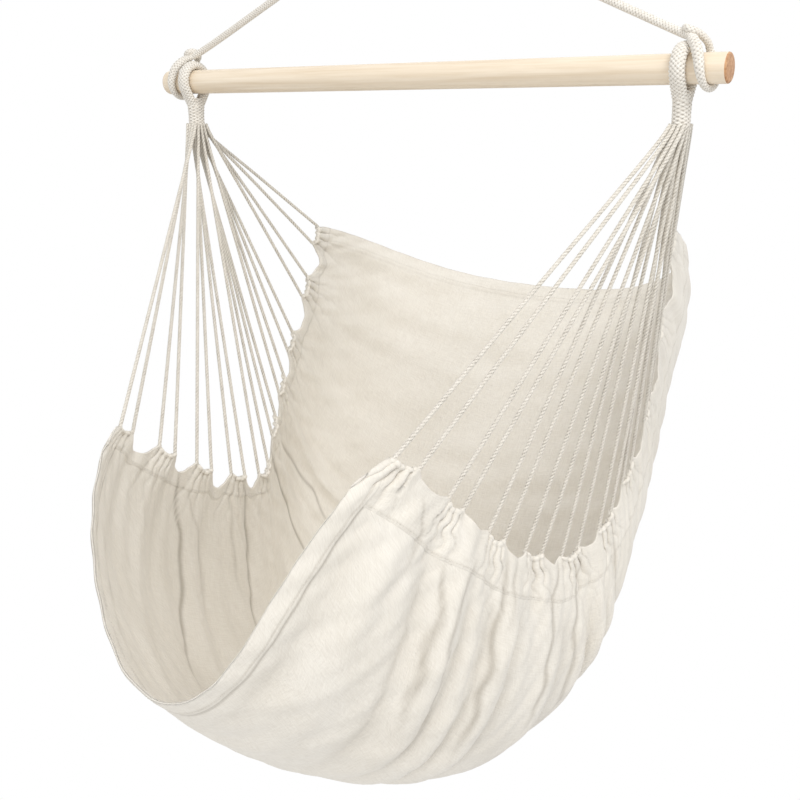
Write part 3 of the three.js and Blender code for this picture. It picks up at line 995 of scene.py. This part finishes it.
def bar_piece():
    turn = np.linspace(0, math.pi / 2, bar_end_steps)
    end_x = bar_half - bar_end_rounding + bar_end_rounding * np.sin(turn)
    end_r = bar_radius - bar_end_rounding + bar_end_rounding * np.cos(turn)
    inner_x = np.linspace(-end_x[0], end_x[0], bar_stations)[1:-1]
    x = np.concatenate([-end_x[::-1], inner_x, end_x])
    r = np.concatenate([end_r[::-1], np.full(len(inner_x), bar_radius), end_r])
    angle = np.arange(bar_sides) * 2 * math.pi / bar_sides
    y = r[:, None] * np.cos(angle)
    z = r[:, None] * np.sin(angle) + bar_height
    points = np.stack([np.repeat(x[:, None], bar_sides, 1), y, z], axis=-1)
    faces = [*grid_faces(len(x), bar_sides, closed=True), *end_faces(len(x), bar_sides)]
    return piece("turned_bar", points, faces, "bridle", "pine", ["spreader_bar"])


bar = bar_piece()
print("bar faces:", len(bar.data.polygons))

# %% [markdown]
# ## Hanger rope
# One braided rope, about 9.5 mm thick, carries the bar. Each leg comes down over the seat loop, turns down
# in front of the bar as a fatter, slack braid, passes under the bar and comes up behind. The end is then
# hitched over the leg and tucked behind it. The places near the bar are in millimetres from the bar's axis,
# where the rope goes under it. They follow the photograph, which shows the right end of the bar well.

# %% Rope paths
rope_thickness = 9.5 * mm
hitch_thickness = 8.4 * mm
served_squash = 4.5 * mm
squash_place_share = 0.52
squash_reach_share = 0.2
served_bend = bar_radius + touch_gap + served_thickness / 2
leg_start = 5 * mm
leg_spread = 22 * mm
whipping_low, whipping_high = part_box("eye_whipping")


def near_bar(places):
    return [(served_place + x * mm, y * mm, bar_height + z * mm) for x, y, z in places]


def leg_path():
    start = np.array([rope_thickness / 2 + touch_gap, 0, whipping_low.z - touch_gap])
    over_loop = np.array(near_bar([(-24, -1, 35.5)])[0])
    slope = (over_loop - start) / np.linalg.norm(over_loop - start)
    upper = [start, start - (0, 0, leg_start), start + slope * leg_spread, (start + over_loop) / 2]
    return smooth_line([*upper, over_loop, *near_bar([(-16, -5, 32.5), (-9, -12, 27), (-4, -17, 20)])])


def round_bar(degrees, x):
    angle = math.radians(degrees)
    clear = served_bend - served_squash / 2 * max(math.sin(angle), 0)
    return (x, -clear * math.cos(angle), bar_height - clear * math.sin(angle))


def served_path():
    top = near_bar([(-12, -8, 29.5), (-7, -13.5, 25), (-2, -19, 17)])
    under = [(-15, 1.5), (0, 2.5), (30, 4), (60, 5), (90, 6.5)]
    under += [(120, 7), (150, 6.5), (180, 5), (205, 2), (225, 0)]
    return smooth_line([*top, *[round_bar(turn, served_place + slip * mm) for turn, slip in under]])


def hitch_path():
    shape = [(2, 19.5, 10), (-0.5, 17, 19), (-1.5, 12.5, 26), (-4, 6.5, 31), (-8, 0, 35.5), (-13, -5, 38)]
    shape += [(-18, -6, 40), (-22, -1.5, 41), (-23.5, 5, 38.5), (-20, 11, 34), (-14, 13, 29)]
    return smooth_line(near_bar(shape))


print("rope legs of", round(walked_along(leg_path())[-1], 3), "m")

# %% [markdown]
# A rope's surface is its section and its braid. Under the bar the rope is pressed flatter by the bar's
# weight, so its section is thinner there.

# %% Rope pieces
rope_step = 0.7 * mm
rope_sides = 48
served_length = walked_along(served_path())[-1]


def served_section(angle, along):
    under_bar = hump(along / served_length - squash_place_share, squash_reach_share)
    return (served_thickness - served_squash * under_bar) / 2 * np.ones_like(angle)


def rope_piece(name, path, side, surface, body, solid, slot="rope", step=rope_step, around=rope_sides):
    section, weave = surface
    points, faces, unshaded_share = tube(evenly(path, step) * (side, 1, 1), section, weave, around)
    return piece(name, points, faces, body, slot, [solid], unshaded_share=unshaded_share)


slim_braid = braided(lay=19 * mm, strands=5, relief=0.22)
slim_rope = (round_section(rope_thickness), slim_braid)
fat_rope = (served_section, braided(lay=21 * mm, strands=5, relief=0.26))
hitch_rope = (round_section(hitch_thickness), slim_braid)
for name, side in sides.items():
    rope_piece("braided_leg_" + name, leg_path(), side, slim_rope, "bridle", "hanger_leg_" + name)
    rope_piece("rope_under_bar_" + name, served_path(), side, fat_rope, "bridle", "served_loop_" + name)
    rope_piece("hitch_" + name, hitch_path(), side, hitch_rope, "bridle", "bar_knot_" + name)
print("rope pieces at the bar:", 3 * len(sides))

# %% [markdown]
# ## Eye, whipping and ring
# At the top both legs go through a whipping, a close winding of twine, and make an eye round the ring. The
# photograph ends below them, so they follow the usual make of such chairs.

# %% Eye of the rope
wire_thickness = 8 * mm
ring_low, ring_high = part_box("hanging_ring")
ring_centre = (ring_low.z + ring_high.z) / 2
ring_radius = (ring_high.z - ring_low.z - wire_thickness) / 2
eye_bend = wire_thickness / 2 + touch_gap + rope_thickness / 2
eye_in_whipping = 4 * mm
eye_straight = 10 * mm


def eye_path():
    narrow = rope_thickness / 2 + touch_gap
    foot = whipping_high.z - eye_in_whipping
    half_turn = [math.radians(a) for a in range(180, -1, -20)]
    wire_low = ring_centre - ring_radius
    arch = [(0, eye_bend * math.cos(a), wire_low + eye_bend * math.sin(a)) for a in half_turn]
    low = [(0, -narrow, foot), (0, -narrow, foot + eye_straight)]
    return smooth_line([*low, *arch, *[(x, -y, z) for x, y, z in low[::-1]]])


eye = rope_piece("eye_of_rope", eye_path(), 1, slim_rope, "eye", "rope_eye")
print("eye faces:", len(eye.data.polygons))

# %% [markdown]
# The whipping is one tube with ridges that climb like a screw, one for each turn of the twine. That is
# lighter than a wound curve and looks the same.

# %% Whipping
whipping_radius = (whipping_high.x - whipping_low.x) / 2
whipping_length = whipping_high.z - whipping_low.z
whipping_rounding = 3 * mm
whipping_edge_share = 0.05
whipping_end_share = 0.72
whipping_flat_share = 0.16
whipping_step = 0.28 * mm
twine_pitch = 1.7 * mm
twine_groove = 0.06


def whipping_section(angle, along):
    end = np.minimum(along, whipping_length - along)
    inward = 1 - np.minimum(end / whipping_rounding, 1)
    swell = np.sqrt(np.clip(1 - inward**2, whipping_edge_share, 1))
    oval = 1 - whipping_flat_share * np.abs(np.sin(angle))
    return whipping_radius * oval * (whipping_end_share + (1 - whipping_end_share) * swell)


def winding(angle, along):
    ridge = np.abs(np.sin(math.pi * (along / twine_pitch + angle / (2 * math.pi))))
    return 1 - twine_groove + twine_groove * ridge


whipping_path = np.array([(0, 0, whipping_low.z), (0, 0, whipping_high.z)])
wound = (whipping_section, winding)
rope_piece("whipping_turns", whipping_path, 1, wound, "eye", "eye_whipping", "twine", whipping_step)
print("turns of twine:", round(whipping_length / twine_pitch))

# %% [markdown]
# The ring is bent from steel wire and welded. A torus from Blender's menu would do as well, and the grid
# function already makes one here.

# %% Ring
ring_turns = 128
ring_sides = 32


def ring_piece():
    big = (np.arange(ring_turns) * 2 * math.pi / ring_turns)[:, None]
    small = (np.arange(ring_sides) * 2 * math.pi / ring_sides)[None, :]
    wire_radius = wire_thickness / 2
    reach = ring_radius + wire_radius * np.cos(small)
    x = reach * np.sin(big)
    z = ring_centre + reach * np.cos(big)
    y = np.broadcast_to(wire_radius * np.sin(small), x.shape)
    faces = grid_faces(ring_turns + 1, ring_sides, closed=True) % (ring_turns * ring_sides)
    return piece("welded_ring", np.stack([x, y, z], axis=-1), faces, "ring", "steel", ["hanging_ring"])


ring = ring_piece()
print("ring faces:", len(ring.data.polygons))

# %% [markdown]
# ## Seat loops and necks
# The cords of each side end in a thick braid. It makes a loop over the bar and is plaited together again
# under it, into a neck that opens out into the separate cords. Both are tubes with an oval section and a
# coarse braid. The cords could be swept one by one, but twenty ends meet in each neck, and only the surface
# shows.

# %% Seat loops
loop_wrap = 0.2
loop_stops = 15
loop_bend = bar_radius + touch_gap + loop_thickness / 2
loop_in_neck = 9 * mm
loop_lean_share = 0.9
braid_step = 0.5 * mm
braid_sides = 84
thick_braid = braided(lay=29 * mm, strands=7, relief=0.24)


def loop_path():
    angles = np.linspace(-math.pi * loop_wrap, math.pi * (1 + loop_wrap), loop_stops)
    arc = [(loop_place, -loop_bend * math.cos(a), bar_height + loop_bend * math.sin(a)) for a in angles]
    foot = neck_high.z - loop_in_neck
    lean = (arc[0][2] - foot) * math.tan(math.pi * loop_wrap) * loop_lean_share
    front = (loop_place, arc[0][1] + lean, foot)
    back = (loop_place, arc[-1][1] - lean, foot)
    return smooth_line([front, *arc, back])


loop_braid = (oval_section(loop_thickness, loop_width), thick_braid)
for name, side in sides.items():
    where = (side, loop_braid, "seat", "seat_loop_" + name)
    rope_piece("braided_loop_" + name, loop_path(), *where, step=braid_step, around=braid_sides)
print("loops of", round(walked_along(loop_path())[-1], 3), "m")

# %% Necks
neck_width = neck_high.x - neck_low.x
neck_top_depth = neck_high.y - neck_low.y
neck_foot_depth = 25 * mm
neck_length = neck_high.z - neck_low.z
neck_above = 4 * mm
neck_foot_gap = 3.5 * mm
neck_shares = [0, 0.35, 0.7, 1]
neck_depths = [neck_top_depth, neck_top_depth * 0.82, neck_foot_depth, neck_foot_depth * 1.05]


def neck_section(angle, along):
    deep = np.interp(along / neck_length, neck_shares, neck_depths)
    return oval_section(deep, neck_width)(angle, along)


neck_path = np.array([(loop_place, 0, neck_high.z + neck_above), (loop_place, 0, neck_low.z + neck_foot_gap)])
for name, side in sides.items():
    where = (side, (neck_section, thick_braid), "seat", "plaited_neck_" + name)
    rope_piece("neck_braid_" + name, neck_path, *where, step=braid_step, around=braid_sides)
print("necks of", round(neck_length, 3), "m")

# %% [markdown]
# ## Stitches
# The hems and the bindings are sewn with a plain running stitch of white thread, about 3 mm long. A picture
# of stitches would go flat from close by, so each stitch is a small bead of thread that lies on the cloth.

# %% Stitches
stitch_length = 3.0 * mm
stitch_pitch = 4.2 * mm
stitch_start_share = 0.2
stitch_widths = [(0, 0.3), (0.25, 1), (0.75, 1), (1, 0.3)]
thread = 0.35 * mm


def stitch_marks(line, out):
    walked = walked_along(line)
    count = int(walked[-1] / stitch_pitch)
    starts = (np.arange(count) + stitch_start_share) * stitch_pitch / walked[-1]
    ends = starts + stitch_length / walked[-1]
    return at_shares(line, starts), at_shares(line, ends), at_shares(out, starts)


def stitch_mesh(seams):
    points, faces = [], []
    for line, out in seams:
        for a, b, up in zip(*stitch_marks(line, out)):
            up = up / np.linalg.norm(up)
            side = np.cross(b - a, up)
            side /= np.linalg.norm(side)
            start = len(points)
            for share, width in stitch_widths:
                middle = a + (b - a) * share
                points += [middle + way * thread * width for way in (side, up, -side)]
            for r in range(len(stitch_widths) - 1):
                k = start + 3 * r
                faces += [[k, k + 3, k + 4, k + 1], [k + 1, k + 4, k + 5, k + 2], [k + 2, k + 5, k + 3, k]]
            faces += [[start, start + 1, start + 2], [start + 11, start + 10, start + 9]]
    return points, faces


# %% [markdown]
# Each seam is sewn through, so its stitches show on both faces. The hems are followed column by column, at
# the seam's distance from the hem, and the bindings row by row, just inside their lower edge.


# %% Seams
def hem_line(distance, lift):
    offset = lift * hem_thickness["front" if distance > 0 else "top"] / 2
    face = canvas_middle + canvas_out * offset
    line, out = [], []
    for j, walked in enumerate(front_distance.T):
        place = distance if distance > 0 else walked[-1] + distance
        line.append([np.interp(place, walked, axis) for axis in face[:, j].T])
        out.append([lift * np.interp(place, walked, axis) for axis in canvas_out[:, j].T])
    return np.array(line), np.array(out)


def binding_line(side, lift):
    seam = np.maximum(top_depth[side], seam_depth(side) - seam_from_edge)
    middle = cloth_points(side, seam[:, None] + np.array([[-1, 0, 1]]) * mm)
    out = out_of(middle)[:, 1] * side * lift
    return middle[:, 1] + out * binding_thickness / 2, out


seams = [hem_line(place, lift) for place in (hem_seam, -hem_seam) for lift in (1, -1)]
seams += [binding_line(side, lift) for side in sides.values() for lift in (1, -1)]
stitches = piece("seam_stitches", *stitch_mesh(seams), "seat", "twine")
print("stitches:", len(stitches.data.vertices) // (3 * len(stitch_widths)))

# %% [markdown]
# ## Materials
# Every finish is made from nodes, so it needs no image and is sharp from close by. Small helpers add a
# node, give it its values and link it, so that each material reads as a short recipe.


# %% Material helpers
def new_material(name, roughness, sheen=0.0, metallic=0.0):
    made = bpy.data.materials.new(name)
    made.use_nodes = True
    shader = made.node_tree.nodes["Principled BSDF"]
    shader.inputs["Roughness"].default_value = roughness
    shader.inputs["Sheen Weight"].default_value = sheen
    shader.inputs["Metallic"].default_value = metallic
    return made, made.node_tree, shader


def add(tree, kind, **values):
    node = tree.nodes.new(kind)
    for key, value in values.items():
        if hasattr(node, key):
            setattr(node, key, value)
        else:
            node.inputs[key.replace("_", " ")].default_value = value
    return node


def noise(tree, place, **values):
    made = add(tree, "ShaderNodeTexNoise", **values)
    tree.links.new(place, made.inputs["Vector"])
    return made.outputs["Fac"]


def stretched(tree, place, scale):
    made = add(tree, "ShaderNodeMapping")
    made.inputs["Scale"].default_value = scale
    tree.links.new(place, made.inputs["Vector"])
    return made.outputs["Vector"]


def bump(tree, height, strength, distance, under=None):
    made = add(tree, "ShaderNodeBump", Strength=strength, Distance=distance)
    tree.links.new(height, made.inputs["Height"])
    if under is not None:
        tree.links.new(under, made.inputs["Normal"])
    return made.outputs["Normal"]


# %% Colour helpers
def linear(red, green, blue):
    return tuple(((c / 255 + 0.055) / 1.055) ** 2.4 for c in (red, green, blue)) + (1,)


def two_colours(tree, factor, first, second, low=0.35, high=0.65):
    ramp = tree.nodes.new("ShaderNodeValToRGB")
    ramp.color_ramp.elements[0].position = low
    ramp.color_ramp.elements[0].color = first
    ramp.color_ramp.elements[1].position = high
    ramp.color_ramp.elements[1].color = second
    tree.links.new(factor, ramp.inputs["Fac"])
    return ramp.outputs["Color"]


def mixed(tree, factor, first, second, **values):
    mix = add(tree, "ShaderNodeMix", data_type="RGBA", **values)
    if isinstance(factor, float):
        mix.inputs["Factor"].default_value = factor
    else:
        tree.links.new(factor, mix.inputs["Factor"])
    tree.links.new(first, mix.inputs["A"])
    tree.links.new(second, mix.inputs["B"])
    return mix.outputs["Result"]


# %% [markdown]
# Narrow valleys are darker than the light alone makes them, so shade is painted into them: the value for
# painted shade that each mesh carries picks them out, and the colour is multiplied by a darker one there.

# %% Painted shade in valleys
white = (1, 1, 1, 1)
strand_shade_colour = (0.26, 0.235, 0.2, 1)
cloth_shade_colour = (0.4, 0.37, 0.33, 1)


def shaded(tree, colour, dark, low, high):
    unshaded_share = add(tree, "ShaderNodeAttribute", attribute_name="unshaded_share")
    shade = two_colours(tree, unshaded_share.outputs["Fac"], dark, white, low, high)
    return mixed(tree, 1.0, colour, shade, blend_type="MULTIPLY")


# %% [markdown]
# ### Canvas
# The canvas is undyed cotton in plain weave. Warp and weft are two sets of fine bands along the cloth's own
# coordinates: noise that is stretched along the thread. Broad noise adds the slight cloudiness of
# unbleached yarn. The threads are too fine for geometry, so a little bump stands for them and for the
# cloth's crinkles.

# %% Canvas material
warp_scale = (700, 60, 1)
weft_scale = (60, 700, 1)


def canvas_material():
    made, tree, shader = new_material("ecru_canvas", 0.92, sheen=0.2)
    shader.inputs["Sheen Roughness"].default_value = 0.5
    place = add(tree, "ShaderNodeUVMap", uv_map="cloth").outputs["UV"]
    warp = noise(tree, stretched(tree, place, warp_scale), Scale=1.0, Detail=2.0)
    weft = noise(tree, stretched(tree, place, weft_scale), Scale=1.0, Detail=2.0)
    total = add(tree, "ShaderNodeMath", operation="ADD")
    tree.links.new(warp, total.inputs[0])
    tree.links.new(weft, total.inputs[1])
    half = add(tree, "ShaderNodeMath", operation="MULTIPLY")
    half.inputs[1].default_value = 0.5
    tree.links.new(total.outputs[0], half.inputs[0])
    weave = half.outputs[0]
    cloud = noise(tree, place, Scale=9.0, Detail=4.0)
    fine = two_colours(tree, weave, linear(216, 209, 197), linear(236, 231, 221), 0.36, 0.62)
    broad = two_colours(tree, cloud, linear(226, 220, 209), linear(236, 231, 222))
    cotton = mixed(tree, 0.5, fine, broad)
    # Painted shade: the cotton colour is multiplied darker in the folds, creases and shadow lines.
    tree.links.new(shaded(tree, cotton, cloth_shade_colour, 0.0, 1.0), shader.inputs["Base Color"])
    crinkle = noise(tree, place, Scale=210.0, Detail=3.0, Roughness=0.6, Distortion=0.6)
    rumple = bump(tree, crinkle, 0.55, 0.0016)
    tree.links.new(bump(tree, weave, 0.5, 0.0006, under=rumple), shader.inputs["Normal"])
    return made


# %% [markdown]
# ### Rope and twine
# The lay and the braid are in the meshes. The material adds the fine cotton fibres and paints shade into
# the valleys between the strands.


# %% Fibre material
def fibre_material(name, dark, light, scale):
    made, tree, shader = new_material(name, 0.9, sheen=0.2)
    place = add(tree, "ShaderNodeTexCoord").outputs["Object"]
    fluff = noise(tree, place, Scale=scale, Detail=5.0, Roughness=0.65)
    fibres = two_colours(tree, fluff, dark, light)
    # Painted shade: the fibre colour is multiplied darker in the valleys between the strands.
    tree.links.new(shaded(tree, fibres, strand_shade_colour, 0.0, 0.8), shader.inputs["Base Color"])
    tree.links.new(bump(tree, fluff, 0.35, 0.0004), shader.inputs["Normal"])
    return made


# %% [markdown]
# ### Pine
# The grain runs along the bar, so the noise is stretched along X. At the ends the wood shows its end grain,
# which is darker. The surface's direction in the bar's own frame picks it out, so it stays on the ends when
# the bar turns.

# %% Pine material
grain_scale = (3, 90, 90)
end_limit = 0.3


def pine_material():
    made, tree, shader = new_material("pale_pine", 0.5)
    shader.inputs["Coat Weight"].default_value = 0.15
    shader.inputs["Coat Roughness"].default_value = 0.35
    place = add(tree, "ShaderNodeTexCoord")
    along = stretched(tree, place.outputs["Object"], grain_scale)
    grain = noise(tree, along, Scale=1.6, Detail=6.0, Roughness=0.6, Distortion=0.4)
    pores = noise(tree, place.outputs["Object"], Scale=260.0, Detail=3.0)
    long_grain = two_colours(tree, grain, linear(222, 203, 176), linear(244, 231, 211), 0.3, 0.7)
    end_grain = two_colours(tree, pores, linear(168, 118, 78), linear(206, 160, 116))
    split = add(tree, "ShaderNodeSeparateXYZ")
    tree.links.new(place.outputs["Normal"], split.inputs["Vector"])
    lengthways = add(tree, "ShaderNodeMath", operation="ABSOLUTE")
    tree.links.new(split.outputs["X"], lengthways.inputs[0])
    at_end = add(tree, "ShaderNodeMath", operation="GREATER_THAN")
    at_end.inputs[1].default_value = end_limit
    tree.links.new(lengthways.outputs[0], at_end.inputs[0])
    tree.links.new(mixed(tree, at_end.outputs[0], long_grain, end_grain), shader.inputs["Base Color"])
    tree.links.new(bump(tree, grain, 0.15, 0.0003), shader.inputs["Normal"])
    return made


# %% [markdown]
# ### Steel
# The ring is zinc plated: a cool grey metal whose colour and roughness change a little from place to place.


# %% Steel material
def steel_material():
    made, tree, shader = new_material("zinc_plated_steel", 0.3, metallic=1.0)
    place = add(tree, "ShaderNodeTexCoord").outputs["Object"]
    spangle = noise(tree, place, Scale=180.0, Detail=4.0)
    colour = two_colours(tree, spangle, linear(186, 189, 193), linear(214, 216, 219))
    tree.links.new(colour, shader.inputs["Base Color"])
    rough = add(tree, "ShaderNodeMapRange", To_Min=0.25, To_Max=0.42)
    tree.links.new(spangle, rough.inputs["Value"])
    tree.links.new(rough.outputs["Result"], shader.inputs["Roughness"])
    return made


# %% Give every piece its material
finishes = {
    "cotton_cloth": canvas_material(),
    "rope": fibre_material("cotton_rope", linear(222, 215, 204), linear(243, 239, 231), 420),
    "twine": fibre_material("cotton_twine", linear(206, 199, 187), linear(234, 229, 219), 520),
    "pine": pine_material(),
    "steel": steel_material(),
}
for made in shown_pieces():
    if made.get("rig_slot"):
        made.data.materials.clear()
        made.data.materials.append(finishes[made["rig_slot"]])
print("finishes:", ", ".join(finishes))

# %% [markdown]
# The canvas is about 1.03 m wide and 1.28 m long, the size that it was cut to.

# %% [markdown]
# ## Floor and light
# The chair hangs over a plain pale floor. The camera sees the floor as white, but the chair gets only the
# light that a pale floor throws back. A soft light stands in front and a little to the right, so it skims
# over the outside of the near side and shows its furrows. A second one shines from high on the right over
# the near side onto the inside of the far side. The world fills the rest evenly.

# %% Floor
floor_height = -1.62
floor_reach = 40
floor_grey = 0.82
square = ((-1, -1), (1, -1), (1, 1), (-1, 1))
floor_corners = [(x * floor_reach, y * floor_reach, floor_height) for x, y in square]


def floor_material():
    made, tree, shader = new_material("white_floor", 0.9)
    shader.inputs["Base Color"].default_value = (floor_grey, floor_grey, floor_grey, 1)
    seen = add(tree, "ShaderNodeLightPath")
    glow = add(tree, "ShaderNodeEmission")
    mix = add(tree, "ShaderNodeMixShader")
    tree.links.new(seen.outputs["Is Camera Ray"], mix.inputs["Fac"])
    tree.links.new(shader.outputs["BSDF"], mix.inputs[1])
    tree.links.new(glow.outputs["Emission"], mix.inputs[2])
    tree.links.new(mix.outputs["Shader"], tree.nodes["Material Output"].inputs["Surface"])
    return made


floor_mesh = bpy.data.meshes.new("floor")
floor_mesh.from_pydata(floor_corners, [], [(0, 1, 2, 3)])
floor_mesh.materials.append(floor_material())
floor = bpy.data.objects.new("floor", floor_mesh)
bpy.context.scene.collection.objects.link(floor)
print("floor at", floor_height)


# %% Lights
def area_light(name, place, target, size, power):
    data = bpy.data.lights.new(name, "AREA")
    data.shape = "DISK"
    data.size = size
    data.energy = power
    lamp = bpy.data.objects.new(name, data)
    lamp.location = place
    lamp.rotation_euler = (Vector(target) - Vector(place)).to_track_quat("-Z", "Y").to_euler()
    bpy.context.scene.collection.objects.link(lamp)
    return lamp


key_light = area_light("key_light", place=(0.7, -3.0, 0.1), target=(0, 0, -0.8), size=0.8, power=17)
high_light = area_light("high_light", place=(1.9, -0.9, 1.7), target=(-0.15, 0, -0.8), size=1.5, power=44)
print("lights:", key_light.name, "and", high_light.name)

# %% World
ambient_strength = 0.74


def white_world():
    world = bpy.data.worlds.new("studio")
    world.use_nodes = True
    tree = world.node_tree
    background = tree.nodes["Background"]
    background.inputs["Color"].default_value = white
    ray = add(tree, "ShaderNodeLightPath")
    seen = add(tree, "ShaderNodeMath", operation="MAXIMUM")
    tree.links.new(ray.outputs["Is Camera Ray"], seen.inputs[0])
    tree.links.new(ray.outputs["Is Glossy Ray"], seen.inputs[1])
    strength = add(tree, "ShaderNodeMapRange", To_Min=ambient_strength, To_Max=1.0)
    tree.links.new(seen.outputs[0], strength.inputs["Value"])
    tree.links.new(strength.outputs["Result"], background.inputs["Strength"])
    return world


bpy.context.scene.world = white_world()
bpy.context.scene.view_settings.view_transform = "Standard"
print("world:", bpy.context.scene.world.name)
